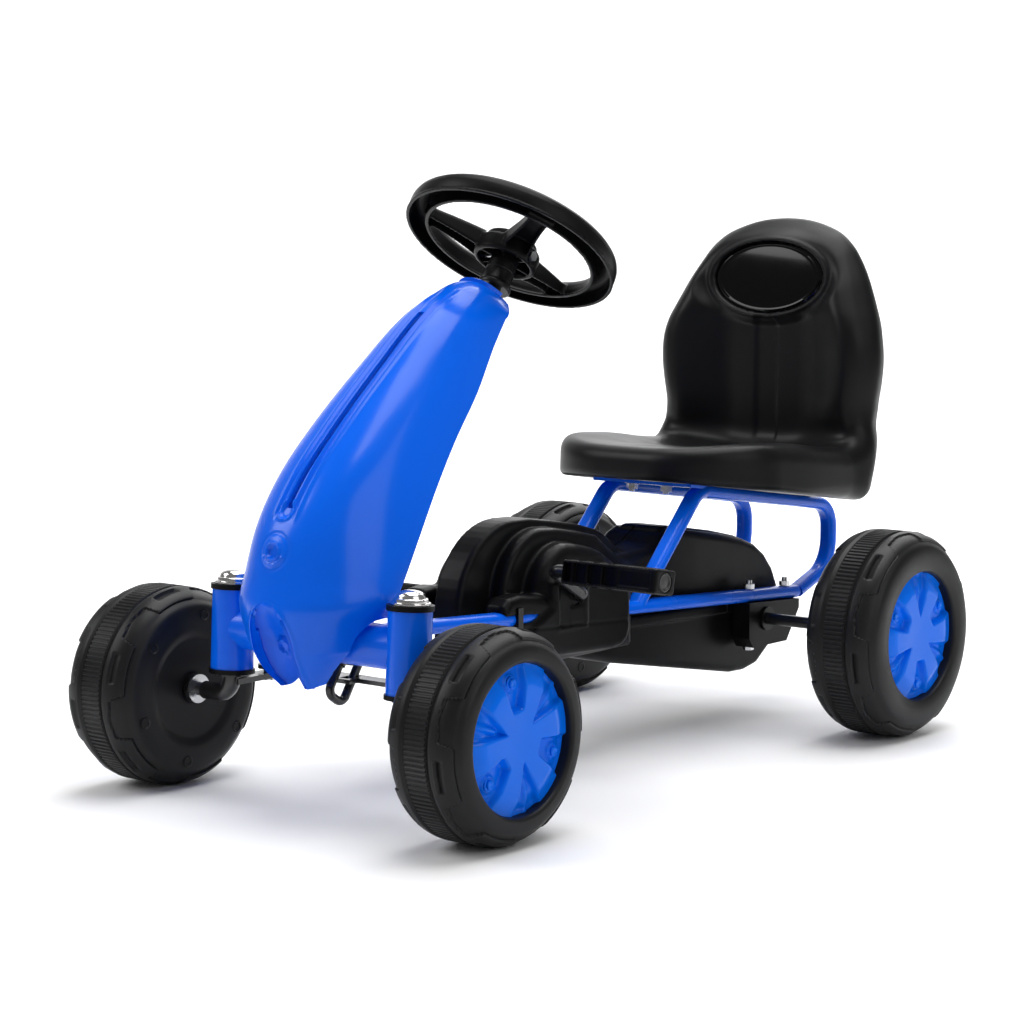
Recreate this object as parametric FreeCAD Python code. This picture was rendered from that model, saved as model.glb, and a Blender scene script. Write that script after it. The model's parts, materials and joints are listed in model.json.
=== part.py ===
import FreeCAD, Part
import os
from math import sin, cos, tan, pi, radians, sqrt, atan2, asin, acos, hypot
from FreeCAD import Vector as V

# ---------------------------------------------------------------------------
# Child's pedal go kart: driving dimensions, millimetres.
# +Z up, nose towards -Y, +X to the rider's left.  Everything is laid out from
# the front axle (y = 0) and moved by -Y0 at the end, so that the origin is on
# the ground under the centre of the overall box.
# ---------------------------------------------------------------------------
Y0 = 325.5                 # front axle to the centre of the overall length

R_FW, R_RW = 90.0, 101.6   # wheel radii, front and rear
W_FW = (148.0, 230.0)      # |x| of the front wheel's inner and outer face
W_RW = (165.0, 247.0)      # |x| of the rear wheel's inner and outer face
WHEELBASE = 602.5
WALL_W = 3.0               # blow-moulded wheel wall
R_CAP = 62.6               # hub cap radius
R_HUBBORE = 13.0           # hole for the wheel bush
R_SCREW = 48.0             # hub cap screws stand on this circle
CAP_PHASE = {"front_left": 40.0, "front_right": 40.0, "rear_left": 91.0, "rear_right": 91.0}   # how far each hub cap is turned
R_STUB = 6.0               # stub axle spindle radius
R_AXLE = 6.0               # rear axle radius

KP_X = 103.5               # kingpin centres
CASTOR = 3.0               # degrees, top leans rearward
R_KPT, R_KPT_IN = 19.0, 15.0
KP_BOT, KP_TOP = 113.0, 184.0   # heights of the kingpin tube's ends
R_KP = 8.0                 # kingpin rod

BEAM_Y, BEAM_Z, R_BEAM, R_BEAM_IN = 6.0, 150.0, 19.0, 17.0

RAIL_X = 53.5              # side rails and seat hoops
RAIL_SLOPE = -0.0575
RAIL_Z0 = 160.0            # rail centre height over the front axle
TUBE_A, TUBE_B, TUBE_T = 9.0, 6.5, 1.5   # obround tube half width (X), half height, wall

SEAT_BOLT_X = 20.9
SEAT_BOLT = ((485.5, 247.4), (637.2, 226.4))   # top of the cross plates (y, z)
PLATE_T = 3.0

COL_TILT = 33.3            # steering column tilt from vertical, degrees
COL_Y, COL_Z = 268.1, 487.5   # steering wheel ring centre
R_RING = 101.5             # steering wheel outer radius
R_COL = 7.0
CRANK_R = 22.0             # column crank throw
ARM_L = 46.0               # knuckle arm length
TIE_Z = 109.0              # tie rod mid height

PED_Y, PED_Z, PED_R = 284.0, 162.0, 57.0   # pedal crank axis and throw
PED_ANG = 30.2             # left crank at rest: degrees above forward
R_CRANK = 6.0
PED_X = (91.0, 200.0)
PED_TIP = 10.0             # pedals at rest: degrees nose up

PITCH = 12.7
T_FRONT, T_REAR = 22, 14   # chain wheel teeth

AXLE_Y, AXLE_Z = WHEELBASE, R_RW

os.makedirs("parts", exist_ok=True)
X, Y, Z = V(1, 0, 0), V(0, 1, 0), V(0, 0, 1)


# ------------------------------------------------------------------ helpers
def cyl(p, d, r, h):
    return Part.makeCylinder(r, h, V(*p), V(*d))


def ring(p, d, ro, ri, h):
    return cyl(p, d, ro, h).cut(cyl((p[0] - d[0] * 1, p[1] - d[1] * 1, p[2] - d[2] * 1), d, ri, h + 2))


def box(x0, x1, y0, y1, z0, z1):
    return Part.makeBox(x1 - x0, y1 - y0, z1 - z0, V(x0, y0, z0))


def prism_x(pts, x0, x1):
    """polygon in the YZ plane, extruded along X"""
    w = Part.makePolygon([V(x0, y, z) for y, z in pts] + [V(x0, *pts[0])])
    return Part.Face(w).extrude(V(x1 - x0, 0, 0))


def revolve_x(pts, cy, cz):
    """polygon of (x, r) turned about the X-parallel line through (cy, cz)"""
    w = Part.makePolygon([V(x, cy, cz + r) for x, r in pts] + [V(pts[0][0], cy, cz + pts[0][1])])
    return Part.Face(w).revolve(V(0, cy, cz), X, 360)


def mirror(s):
    return s.mirror(V(0, 0, 0), X)


def one(s):
    """keep a fused result as one clean solid"""
    s = s.removeSplitter()
    return s.Solids[0] if len(s.Solids) == 1 else s


def fuse(*a):
    s = a[0]
    for b in a[1:]:
        s = s.fuse(b)
    return one(s)


def arc_path(pts, radii):
    """points in 3-D, straight runs joined by tangent arcs of the given radii"""
    edges = []
    cur = V(*pts[0])
    for i in range(1, len(pts) - 1):
        p, a, b = V(*pts[i]), V(*pts[i - 1]), V(*pts[i + 1])
        u, v = (a - p).normalize(), (b - p).normalize()
        ang = acos(max(-1, min(1, u.dot(v))))
        r = radii[i - 1]
        t = r / tan(ang / 2)
        s, e = p + u * t, p + v * t
        m = p + (u + v).normalize() * (r / sin(ang / 2) - r)
        if (s - cur).Length > 1e-6:
            edges.append(Part.LineSegment(cur, s).toShape())
        edges.append(Part.Arc(s, m, e).toShape())
        cur = e
    edges.append(Part.LineSegment(cur, V(*pts[-1])).toShape())
    return Part.Wire(edges)


def obround(p, a, b, u, v):
    """obround wire: long half width a along u, half height b along v"""
    p, u, v = V(*p), V(*u), V(*v)
    c = a - b
    q = lambda s, t: p + u * s + v * t
    return Part.Wire([Part.LineSegment(q(-c, b), q(c, b)).toShape(),
                      Part.Arc(q(c, b), q(a, 0), q(c, -b)).toShape(),
                      Part.LineSegment(q(c, -b), q(-c, -b)).toShape(),
                      Part.Arc(q(-c, -b), q(-a, 0), q(-c, b)).toShape()])


def pipe(path, prof):
    return path.makePipeShell([prof], True, False)


def rod(pts, radii, r):
    path = arc_path(pts, radii)
    d = (V(*pts[1]) - V(*pts[0])).normalize()
    c = Part.Wire([Part.Circle(V(*pts[0]), d, r).toShape()])
    return pipe(path, c)


def obtube(pts, radii, x):
    """hollow obround tube bent in the plane X = x; pts are (y, z)"""
    p3 = [(x, y, z) for y, z in pts]
    path = arc_path(p3, radii)
    d = (V(*p3[1]) - V(*p3[0])).normalize()
    n = d.cross(X)
    o = pipe(path, obround(p3[0], TUBE_A, TUBE_B, (1, 0, 0), tuple(n)))
    i = pipe(path, obround(p3[0], TUBE_A - TUBE_T, TUBE_B - TUBE_T, (1, 0, 0), tuple(n)))
    return o.cut(i), o


def bolt(p, d, r, length, head_r, head_h):
    """hex-headed bolt: head on the far side of p against d, shank along d"""
    p, d = V(*p), V(*d).normalize()
    sh = Part.makeCylinder(r, length, p, d)
    return fuse(sh, hexprism(p - d * head_h, d, head_r, head_h))


def hexprism(p, d, r, h):
    d = V(*d).normalize()
    u = d.cross(X)
    if u.Length < 0.1:
        u = d.cross(Z)
    u.normalize()
    v = d.cross(u)
    pts = [p + u * (r * cos(k * pi / 3)) + v * (r * sin(k * pi / 3)) for k in range(6)]
    return Part.Face(Part.makePolygon(pts + [pts[0]])).extrude(d * h)


def nut(p, d, r_out, r_in, h):
    p, d = V(*p), V(*d).normalize()
    return hexprism(p, d, r_out, h).cut(Part.makeCylinder(r_in, h + 2, p - d, d))


OUT = {}


def put(name, *shapes):
    ss = []
    for s in shapes:
        for q in s.Solids:
            if q.Volume < 0:
                q.reverse()
            q = q.copy()
            q.translate(V(0, -Y0, 0))
            ss.append(q)
    sh = ss[0] if len(ss) == 1 else Part.makeCompound(ss)
    OUT[name] = sh
    sh.exportStep("parts/%s.step" % name)


# --------------------------------------------------------------- front axle
ca, sa = cos(radians(CASTOR)), sin(radians(CASTOR))
KD = (0, sa, ca)                                   # kingpin direction, upwards


def kp(x, z):
    """point on a kingpin axis at height z"""
    return (x, (z - R_FW) * tan(radians(CASTOR)), z)


def kpt(sx):
    b = kp(sx * KP_X, KP_BOT)
    L = (KP_TOP - KP_BOT) / ca
    return cyl(b, KD, R_KPT, L), cyl(b, KD, R_KPT_IN, L), b, L


beam_o = cyl((-KP_X, BEAM_Y, BEAM_Z), (1, 0, 0), R_BEAM, 2 * KP_X)
beam_i = cyl((-KP_X + R_KPT - 1, BEAM_Y, BEAM_Z), (1, 0, 0), R_BEAM_IN, 2 * (KP_X - R_KPT + 1))
tubes = {}
weld = [beam_o]
bores = [beam_i]
for sx, nm in ((1, "left"), (-1, "right")):
    o, i, b, L = kpt(sx)
    tubes[nm] = (o, i, b, L)
    weld.append(o)
    bores.append(Part.makeCylinder(R_KPT_IN, L + 4, V(*b) - V(*KD) * 2, V(*KD)))

# kingpin rod bent outwards into the wheel spindle, steering arm and their pins
kp_bushes = []
for sx, nm in ((1, "left"), (-1, "right")):
    o, i, b, L = tubes[nm]
    top = V(*b) + V(*KD) * L
    bot = V(*b)
    kd = V(*KD)
    # flanged plastic bushes, one at each end of the tube
    ub = Part.makeCylinder(R_KPT_IN - 0.05, 16, top - kd * 16, kd).fuse(Part.makeCylinder(20.5, 4.5, top, kd))
    ub = ub.cut(Part.makeCylinder(R_KP + 0.05, 40, top - kd * 18, kd))
    lb = Part.makeCylinder(R_KPT_IN - 0.05, 16, bot, kd).fuse(Part.makeCylinder(20.5, 4.0, bot - kd * 4.0, kd))
    lb = lb.cut(Part.makeCylinder(R_KP + 0.05, 40, bot - kd * 8, kd))
    kp_bushes += [one(ub), one(lb)]
    # washer and dome nut over the top, thrust washer underneath
    w1 = Part.makeCylinder(17.5, 2.4, top + kd * 4.6, kd).cut(Part.makeCylinder(R_KP + 0.02, 8, top + kd * 2, kd))
    c0 = top + kd * 7.0
    dome = Part.makeCylinder(15.0, 3.0, c0, kd)
    Rs = 15.6
    sp = Part.makeSphere(Rs, c0 + kd * (10.2 - Rs)).common(Part.makeCylinder(13.0, 9, c0 + kd * 2.9, kd))
    dome = fuse(dome, sp)
    dome = dome.cut(Part.makeCylinder(R_KP, 6.0, c0 - kd, kd))
    put(nm + "_kingpin_dome_nut", w1, dome)
    # stub axle: vertical rod in the tube, bend below it, spindle out to the wheel
    x0 = sx * KP_X
    p_top = tuple(c0 + kd * 5.0)
    p_bend = (x0, 0.0, R_FW)
    x_end = sx * (W_FW[1] - 11.5)
    st = rod([p_top, p_bend, (x_end, 0, R_FW)], [15.0], R_KP)
    # the spindle is turned down to the wheel bore from its shoulder outwards
    turned = ring((sx * (W_FW[0] - 12.0), 0, R_FW), (sx, 0, 0), 12.0, R_STUB, W_FW[1] - W_FW[0] + 30.0)
    st = st.cut(turned)
    # thrust collar under the bush
    col = Part.makeCylinder(13.5, 2.2, bot - kd * 6.3, kd)
    st = fuse(st, col)
    # steering arm: a flat plate welded on the bend, reaching back to the tie rod
    az = 104.0                                 # top of the arm
    arm = box(x0 - 9, x0 + 9, 0, ARM_L + 2, az - 5, az).fuse(cyl((x0, ARM_L + 2, az - 5), (0, 0, 1), 9.0, 5.0))
    arm = arm.cut(cyl((x0, ARM_L + 2, az - 20), (0, 0, 1), 3.0, 60))
    put(nm + "_stub_axle", fuse(st, arm))
    # tie rod pin: rivet through the arm and the tie rod's eye
    PY = ARM_L + 2
    pin = fuse(cyl((x0, PY, az - 7.5), (0, 0, 1), 6.0, 2.5), cyl((x0, PY, az - 6), (0, 0, 1), 3.0, TIE_Z + 3.0 - az + 6),
               cyl((x0, PY, az), (0, 0, 1), 5.0, TIE_Z - 2.4 - az), cyl((x0, PY, TIE_Z + 2.4), (0, 0, 1), 6.0, 2.4))
    put(nm + "_tie_rod_pin", pin)
put("kingpin_bushes", *kp_bushes)

# tie rod: flat bar with a slotted eye for the column crank in the middle
PY = ARM_L + 2
bar = box(-KP_X, KP_X, PY - 8, PY + 8, TIE_Z - 2, TIE_Z + 2)
for sx in (1, -1):
    bar = bar.fuse(cyl((sx * KP_X, PY, TIE_Z - 2), (0, 0, 1), 10.0, 4.0))
SL_Y0, SL_Y1 = 34.0, 52.5                      # slot for the crank pin
bar = bar.fuse(box(-11, 11, SL_Y0 - 4, SL_Y1 + 4, TIE_Z - 2, TIE_Z + 2))
bar = bar.cut(box(-5.0, 5.0, SL_Y0, SL_Y1, TIE_Z - 3, TIE_Z + 3))
bar = bar.cut(cyl((KP_X, PY, 100), (0, 0, 1), 3.05, 30)).cut(cyl((-KP_X, PY, 100), (0, 0, 1), 3.6, 30))
put("tie_rod", one(bar))

# ------------------------------------------------------------------- wheels
def wheel(sx, cy, cz, R, x0, x1):
    """blow-moulded wheel: hollow shell, open only at the two bush seats"""
    t = WALL_W
    # outside: from the outer bush seat over the tread to the inner one
    o = [(x1 - 22, R_HUBBORE), (x1 - 22, 30), (x1 - 12.5, 36), (x1 - 12.5, R_CAP + 0.3), (x1 - 1.2, R_CAP + 1.2), (x1, R_CAP + 3.0),
         (x1 - 0.6, R - 17), (x1 - 6, R - 8.0), (x1 - 17, R - 1.6), (x1 - 27, R), (x0 + 27, R), (x0 + 17, R - 1.6),
         (x0 + 6, R - 9.0), (x0 + 1.0, R - 20), (x0 + 0.0, 51), (x0 + 3, 46), (x0 + 3, R_HUBBORE)]
    i = [(x0 + 3 + t, R_HUBBORE), (x0 + 3 + t, 47.3), (x0 + t + 0.2, 53), (x0 + t + 1.0, R - 21),
         (x0 + 6 + t * .8, R - 9.0 - t), (x0 + 18, R - 1.6 - t), (x0 + 27, R - t), (x1 - 27, R - t),
         (x1 - 18, R - 1.6 - t), (x1 - 6 - t * .8, R - 8.0 - t), (x1 - 0.6 - t, R - 17), (x1 - t, R_CAP + 5.0),
         (x1 - 9.4, R_CAP + 3.6), (x1 - 15.5, R_CAP + 3.0), (x1 - 15.5, 37.5), (x1 - 25, 31.5), (x1 - 25, R_HUBBORE)]
    s = revolve_x([(sx * a, b) for a, b in o + i], cy, cz)
    return s


def hub_cap(sx, cy, cz, x1):
    """shallow star-shaped disc that clips into the wheel's outer face"""
    e = x1 - 6.0
    pts = [(e - 3.4, 0), (e + 1.0, 0), (e + 2.0, 18), (e + 1.6, 40), (e - 0.4, R_CAP), (e - 5.0, R_CAP), (e - 5.0, R_CAP - 2.2),
           (e - 2.6, R_CAP - 3.4), (e - 2.2, 40)]
    return revolve_x([(sx * a, b) for a, b in pts], cy, cz)


def pockets(sx, cy, cz, x1, ph):
    """three plain triangular pockets and three screw pockets, alternating"""
    out = []
    for k in range(6):
        a = radians(60 * k + ph)
        if k % 2:
            out.append(cyl((sx * (x1 - 6.9), cy + R_SCREW * cos(a), cz + R_SCREW * sin(a)), (sx, 0, 0), 9.5, 12))
        else:
            c = []
            for j in range(3):
                b = a + pi + j * 2 * pi / 3
                c.append(V(sx * (x1 - 6.9), cy + 42 * cos(a) + 13 * cos(b), cz + 42 * sin(a) + 13 * sin(b)))
            out.append(Part.Face(Part.makePolygon(c + [c[0]])).extrude(V(sx * 12, 0, 0)))
    return out


def bush_pair(sx, cy, cz, x0, x1, ri):
    bi = revolve_x([(sx * (x0 - 1.5), ri), (sx * (x0 - 1.5), 14.5), (sx * (x0 + 2.95), 14.5), (sx * (x0 + 2.95), R_HUBBORE - .05),
                    (sx * (x0 + 20), R_HUBBORE - .05), (sx * (x0 + 20), ri)], cy, cz)
    bo = revolve_x([(sx * (x1 - 19), ri), (sx * (x1 - 19), 17), (sx * (x1 - 21.95), 17), (sx * (x1 - 21.95), R_HUBBORE - .05),
                    (sx * (x1 - 38), R_HUBBORE - .05), (sx * (x1 - 38), ri)], cy, cz)
    return bi, bo


def screws(sx, cy, cz, x1, ph):
    out = []
    for k in (1, 3, 5):
        a = radians(60 * k + ph)
        p = (sx * (x1 - 6.9), cy + R_SCREW * cos(a), cz + R_SCREW * sin(a))
        out.append(fuse(cyl(p, (sx, 0, 0), 5.2, 2.6), cyl(p, (-sx, 0, 0), 1.9, 9.0)))
    return out


def make_wheel(name, sx, cy, cz, R, x0, x1, ri):
    w = wheel(sx, cy, cz, R, x0, x1)
    cap = hub_cap(sx, cy, cz, x1)
    ph = CAP_PHASE[name]
    for p in pockets(sx, cy, cz, x1, ph):
        cap = cap.cut(p)
    sc = screws(sx, cy, cz, x1, ph)
    for s in sc:
        cap = cap.cut(s)
        w = w.cut(s)                               # the wheel's web takes the screws
    put(name + "_wheel", w)
    put(name + "_hub_cap", one(cap))
    b = bush_pair(sx, cy, cz, x0, x1, ri)
    return sc, b


rear_sc, rear_b = [], []
for sx, nm in ((1, "left"), (-1, "right")):
    sc, b = make_wheel("front_" + nm, sx, 0, R_FW, R_FW, W_FW[0], W_FW[1], R_STUB + 0.05)
    put("front_" + nm + "_cap_screws", *sc)
    put("front_" + nm + "_wheel_bushes", *b)
    sc, b = make_wheel("rear_" + nm, sx, AXLE_Y, AXLE_Z, R_RW, W_RW[0], W_RW[1], R_AXLE)
    rear_sc += sc
    rear_b += b
    # washers and nut that hold the front wheel on its spindle
    x0, x1 = W_FW
    wi = ring((sx * (x0 - 2.0), 0, R_FW), (-sx, 0, 0), 13.0, R_STUB, 2.0)
    wo = ring((sx * (x1 - 18.6), 0, R_FW), (sx, 0, 0), 12.0, R_STUB, 1.8)
    nt = nut((sx * (x1 - 16.7), 0, R_FW), (sx, 0, 0), 10.0, R_STUB, 5.8)
    put("front_" + nm + "_axle_nut", wi, wo, nt)

put("rear_cap_screws", *rear_sc)
put("rear_wheel_bushes", *rear_b)

# rear axle with its nuts, washers and chain wheel
XE = W_RW[1] - 11.5
put("rear_axle", cyl((-XE, AXLE_Y, AXLE_Z), (1, 0, 0), R_AXLE, 2 * XE))
sets = []
for sx in (1, -1):
    sets.append(ring((sx * (W_RW[0] - 1.6), AXLE_Y, AXLE_Z), (-sx, 0, 0), 13.0, R_AXLE, 2.0))
    sets.append(ring((sx * (W_RW[1] - 18.9), AXLE_Y, AXLE_Z), (sx, 0, 0), 12.0, R_AXLE, 1.9))
    sets.append(nut((sx * (W_RW[1] - 16.9), AXLE_Y, AXLE_Z), (sx, 0, 0), 10.0, R_AXLE, 5.8))
put("rear_axle_nuts", *sets)


def sprocket(n, cy, cz, bore, pin_r=2.0):
    rp = PITCH / (2 * sin(pi / n))
    rt = rp - pin_r - 0.8                          # tooth tips clear the chain's pins
    rr = rt - 3.0
    pts = []
    for k in range(n):
        for da, r in ((-.34, rr), (-.12, rt), (.12, rt), (.34, rr)):
            a = (k + da) * 2 * pi / n
            pts.append(V(-1.5, cy + r * cos(a), cz + r * sin(a)))
    s = Part.Face(Part.makePolygon(pts + [pts[0]])).extrude(V(3, 0, 0))
    s = fuse(s, cyl((-8, cy, cz), (1, 0, 0), bore + 5, 16)).cut(cyl((-20, cy, cz), (1, 0, 0), bore, 40))
    for k in range(5):
        a = 2 * pi * k / 5
        rm = (rr + bore + 5) / 2
        s = s.cut(cyl((-5, cy + rm * cos(a), cz + rm * sin(a)), (1, 0, 0), (rr - bore - 5) / 2 - 2.5, 10))
    return s, rp


spr_f, RPF = sprocket(T_FRONT, PED_Y, PED_Z, R_CRANK)
spr_r, RPR = sprocket(T_REAR, AXLE_Y, AXLE_Z, R_AXLE)
put("front_sprocket", spr_f)
put("rear_sprocket", spr_r)

# ------------------------------------------------------------------- chain
dy, dz = AXLE_Y - PED_Y, AXLE_Z - PED_Z
CD = hypot(dy, dz)
th = atan2(dz, dy)
al = asin((RPF - RPR) / CD)


def loop(off, x):
    """closed belt line round both wheels, off outside the pitch line"""
    ra, rb = RPF + off, RPR + off
    up, dn = th + pi / 2 - al, th - pi / 2 + al
    P = lambda c, r, a: V(x, c[0] + r * cos(a), c[1] + r * sin(a))
    A, B = (PED_Y, PED_Z), (AXLE_Y, AXLE_Z)
    return Part.Wire([Part.LineSegment(P(A, ra, up), P(B, rb, up)).toShape(),
                      Part.Arc(P(B, rb, up), P(B, rb, th), P(B, rb, dn)).toShape(),
                      Part.LineSegment(P(B, rb, dn), P(A, ra, dn)).toShape(),
                      Part.Arc(P(A, ra, dn), P(A, ra, th + pi), P(A, ra, up)).toShape()])


bands = []
for x0 in (-4.4, 3.0):
    b = Part.Face(loop(3.8, x0)).extrude(V(1.4, 0, 0)).cut(Part.Face(loop(-3.8, x0 - 1)).extrude(V(4, 0, 0)))
    bands.append(b)
mid = loop(0, 0)
n_link = int(round(mid.Length / PITCH))
chain = bands[0].multiFuse([bands[1]] + [
    cyl((-4.4, p.y, p.z), (1, 0, 0), 2.0, 8.8) for p in mid.discretize(n_link + 1)[:-1]])
put("chain", one(chain))

# ---------------------------------------------------------- rails and hoops
rail_z = lambda y: RAIL_Z0 + RAIL_SLOPE * y
HOOP = [(389.0, rail_z(389.0)), (491.0, 241.4), (668.0, 216.9), (734.6, 207.0), (734.6, 143.0), (672.0, rail_z(672.0))]
for sx, nm in ((1, "left"), (-1, "right")):
    x = sx * RAIL_X
    rail, rail_o = obtube([(BEAM_Y, rail_z(BEAM_Y)), (668.0, rail_z(668.0))], [], x)
    rail = rail.cut(beam_o)
    rail = max(rail.Solids, key=lambda s: s.Volume)
    hoop, hoop_o = obtube(HOOP, [26.0, 400.0, 27.0, 40.0], x)
    hoop = hoop.cut(rail_o)
    hoop = max(hoop.Solids, key=lambda s: s.Volume)
    tubes["rail_" + nm] = rail_o
    tubes["hoop_" + nm] = hoop_o
    tubes["railh_" + nm] = rail
    tubes["hooph_" + nm] = hoop
# the two seat plates lie across the hoops' top runs
slope = atan2(SEAT_BOLT[1][1] - SEAT_BOLT[0][1], SEAT_BOLT[1][0] - SEAT_BOLT[0][0])
sd, sn = V(0, cos(slope), sin(slope)), V(0, -sin(slope), cos(slope))
plates = []
for (y, z) in SEAT_BOLT:
    c = V(0, y, z) - sn * PLATE_T
    q = [c + sd * a + X * b for a, b in ((-14, -60), (14, -60), (14, 60), (-14, 60))]
    p = Part.Face(Part.makePolygon(q + [q[0]])).extrude(sn * PLATE_T)
    for b in (-SEAT_BOLT_X, SEAT_BOLT_X):
        p = p.cut(Part.makeCylinder(3.3, 12, c + X * b - sn * 4, sn))
    plates.append(p)
put("seat_cross_plates", *plates)

# ------------------------------------------------------ steering column etc.
ct, stt = cos(radians(COL_TILT)), sin(radians(COL_TILT))
CA = V(0, stt, ct)                              # column axis, upwards
CO = V(0, COL_Y, COL_Z)
CE = V(0, ct, -stt)                             # rearward and down, square to the axis


def ax(s):
    return CO + CA * s


# bearing tube welded behind the beam on a gusset plate
bt = Part.makeCylinder(12.0, 44, ax(-428), CA)
gus = prism_x([(BEAM_Y + 8, BEAM_Z + 15), (BEAM_Y + 30, BEAM_Z + 24), (66, 172), (52, 150), (40, 137), (BEAM_Y + 12, BEAM_Z - 14)], -3, 3)
weld += [bt, gus]
bores.append(Part.makeCylinder(9.0, 60, ax(-440), CA))
lowb = [Part.makeCylinder(8.95, 14, ax(-428), CA).fuse(Part.makeCylinder(12.0, 2.5, ax(-430.5), CA)).cut(
            Part.makeCylinder(R_COL + 0.05, 40, ax(-440), CA)),
        Part.makeCylinder(8.95, 14, ax(-398), CA).fuse(Part.makeCylinder(12.0, 2.5, ax(-384), CA)).cut(
            Part.makeCylinder(R_COL + 0.05, 40, ax(-410), CA))]
put("column_lower_bushes", *[one(b) for b in lowb])
# column: straight rod, then a U-shaped crank at its foot that reaches up into the tie rod
foot = -463.0
RC = 4.0
c_rod = Part.makeCylinder(R_COL, 432.0 - 2.0, ax(-432.0), CA)
a1 = ax(foot)
b1 = ax(foot) + CE * CRANK_R
b0 = ax(-424.0) + CE * CRANK_R
crank = rod([tuple(ax(-433.0)), tuple(a1), tuple(b1), tuple(b0)], [8.0, 8.0], RC)
column = fuse(c_rod, Part.makeCylinder(5.5, 4.0, ax(-436.0), CA), crank)
column = column.cut(Part.makeCylinder(2.55, 60, ax(-16) - X * 30, X))
put("steering_column", one(column))

# ----------------------------------------------------------- steering wheel
def wring(s0, pts):
    """profile of (r, s) turned about the column axis"""
    w = Part.makePolygon([CO + CA * s + X * r for r, s in pts + [pts[0]]])
    return Part.Face(w).revolve(CO, CA, 360)


tor = []
for k in range(24):
    a = 2 * pi * k / 24
    tor.append((R_RING - 11.0 + 11.0 * cos(a), 11.5 * sin(a)))
w_ring = wring(0, tor)
# the rim is a channel, open underneath
w_ring = w_ring.cut(wring(0, [(R_RING - 15.5, -14), (R_RING - 6.5, -14), (R_RING - 5.5, -2), (R_RING - 16.5, -2)]))
hub = Part.makeCylinder(28.0, 15.0, ax(-24), CA)
hub = hub.cut(Part.makeCylinder(25.0, 9.0, ax(-25), CA)).fuse(Part.makeCylinder(13.5, 15.0, ax(-26), CA))
sp = None
for ang in (-55, 55, 180):
    a = radians(ang)
    u = X * sin(a) - CE * cos(a)                 # 0 degrees points forward
    v = CA.cross(u)
    p = ax(-21) + u * 22
    prof = [p + v * -14, p + v * 14, ax(-7) + u * 22 + v * 14, ax(-7) + u * 22 + v * -14]
    q = ax(-5) + u * (R_RING - 16.5)
    prof2 = [q + v * -11, q + v * 11, ax(5) + u * (R_RING - 16.5) + v * 11, ax(5) + u * (R_RING - 16.5) + v * -11]
    l = Part.makeLoft([Part.makePolygon(prof + [prof[0]]), Part.makePolygon(prof2 + [prof2[0]])], True, True)
    sp = l if sp is None else sp.fuse(l)
sw = w_ring.fuse(hub).fuse(sp)
sw = sw.cut(Part.makeCylinder(R_COL, 30, ax(-30), CA)).cut(Part.makeCylinder(25.0, 10, ax(-9), CA))
sw = sw.cut(Part.makeCylinder(2.6, 90, ax(-16) - X * 45, X))
for q in (28.4, -36.4):
    sw = sw.cut(Part.makeCylinder(7.0, 8.0, ax(-16) + X * q, X))
put("steering_wheel", one(sw))
# cover over the hub, facing the rider
capw = Part.makeCylinder(24.7, 8.0, ax(-8.9), CA).fuse(Part.makeCone(24.7, 17.0, 3.4, ax(-0.9), CA))
capw = one(capw).cut(Part.makeCylinder(R_COL + 0.3, 8.9, ax(-9.5), CA))
put("steering_wheel_cap", max(capw.Solids, key=lambda s: s.Volume))
# sleeve on the column between the hub and the hood
slv = Part.makeCylinder(13.5, 26, ax(-52.2), CA).fuse(Part.makeCone(15.5, 13.5, 7, ax(-52.2), CA))
slv = one(slv).cut(Part.makeCylinder(R_COL, 60, ax(-60), CA))
put("column_sleeve", slv)
# cross bolt and nut through the hub
bz = ax(-16)
bolt_s = fuse(Part.makeCylinder(2.5, 60 - 2, bz - X * 29, X), hexprism(bz + X * 29, X, 5.0, 3.5))
nut_s = nut(tuple(bz - X * 33), (1, 0, 0), 5.0, 2.5, 4.0)
nut_s = nut_s.cut(bolt_s)
put("steering_wheel_bolt", bolt_s, nut_s)

# --------------------------------------------------------------------- hood
# stations: front point (y, z), rear edge point (y, z), half width there, fullness
HOOD = [(-27.0, 106.0, -6.0, 104.0, 26.0, 2.0), (-33.0, 122.0, 4.0, 120.0, 44.0, 2.0), (-45.0, 150.0, 10.0, 150.0, 62.0, 2.0),
        (-54.0, 182.0, 16.0, 182.0, 75.0, 2.0), (-52.0, 207.0, 30.0, 205.0, 75.0, 2.0),
        (-46.0, 245.0, 53.0, 240.0, 73.0, 2.1), (-17.0, 288.0, 82.0, 278.0, 67.0, 2.4),
        (26.0, 331.0, 115.0, 315.0, 59.5, 2.7), (81.0, 379.0, 155.0, 355.0, 51.5, 2.8),
        (140.0, 426.0, 191.0, 395.0, 41.5, 2.7), (181.0, 447.0, 217.0, 418.0, 33.5, 2.4)]
H_T = 3.0


def hood_curve(st, off, n=15):
    yf, zf, yr, zr, a, e = st
    F, R = V(0, yf, zf), V(0, yr, zr)
    d = (R - F)
    b = d.Length
    d.normalize()
    a2, b2 = a - off, b - off
    pts = []
    for k in range(n):
        t = -pi / 2 + pi * k / (n - 1)
        c, s = max(cos(t), 0.0), sin(t)
        px = a2 * (abs(s) ** (2 / e)) * (1 if s > 0 else -1)
        pd = b2 * (c ** (2 / e))
        pts.append(R - d * pd + X * px)
    return pts


def hood_wire(st, t):
    po, pi_ = hood_curve(st, 0), hood_curve(st, t)
    so, si = Part.BSplineCurve(), Part.BSplineCurve()
    so.interpolate(po)
    si.interpolate(list(reversed(pi_)))
    return Part.Wire([so.toShape(), Part.LineSegment(po[-1], pi_[-1]).toShape(), si.toShape(),
                      Part.LineSegment(pi_[0], po[0]).toShape()])


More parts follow.
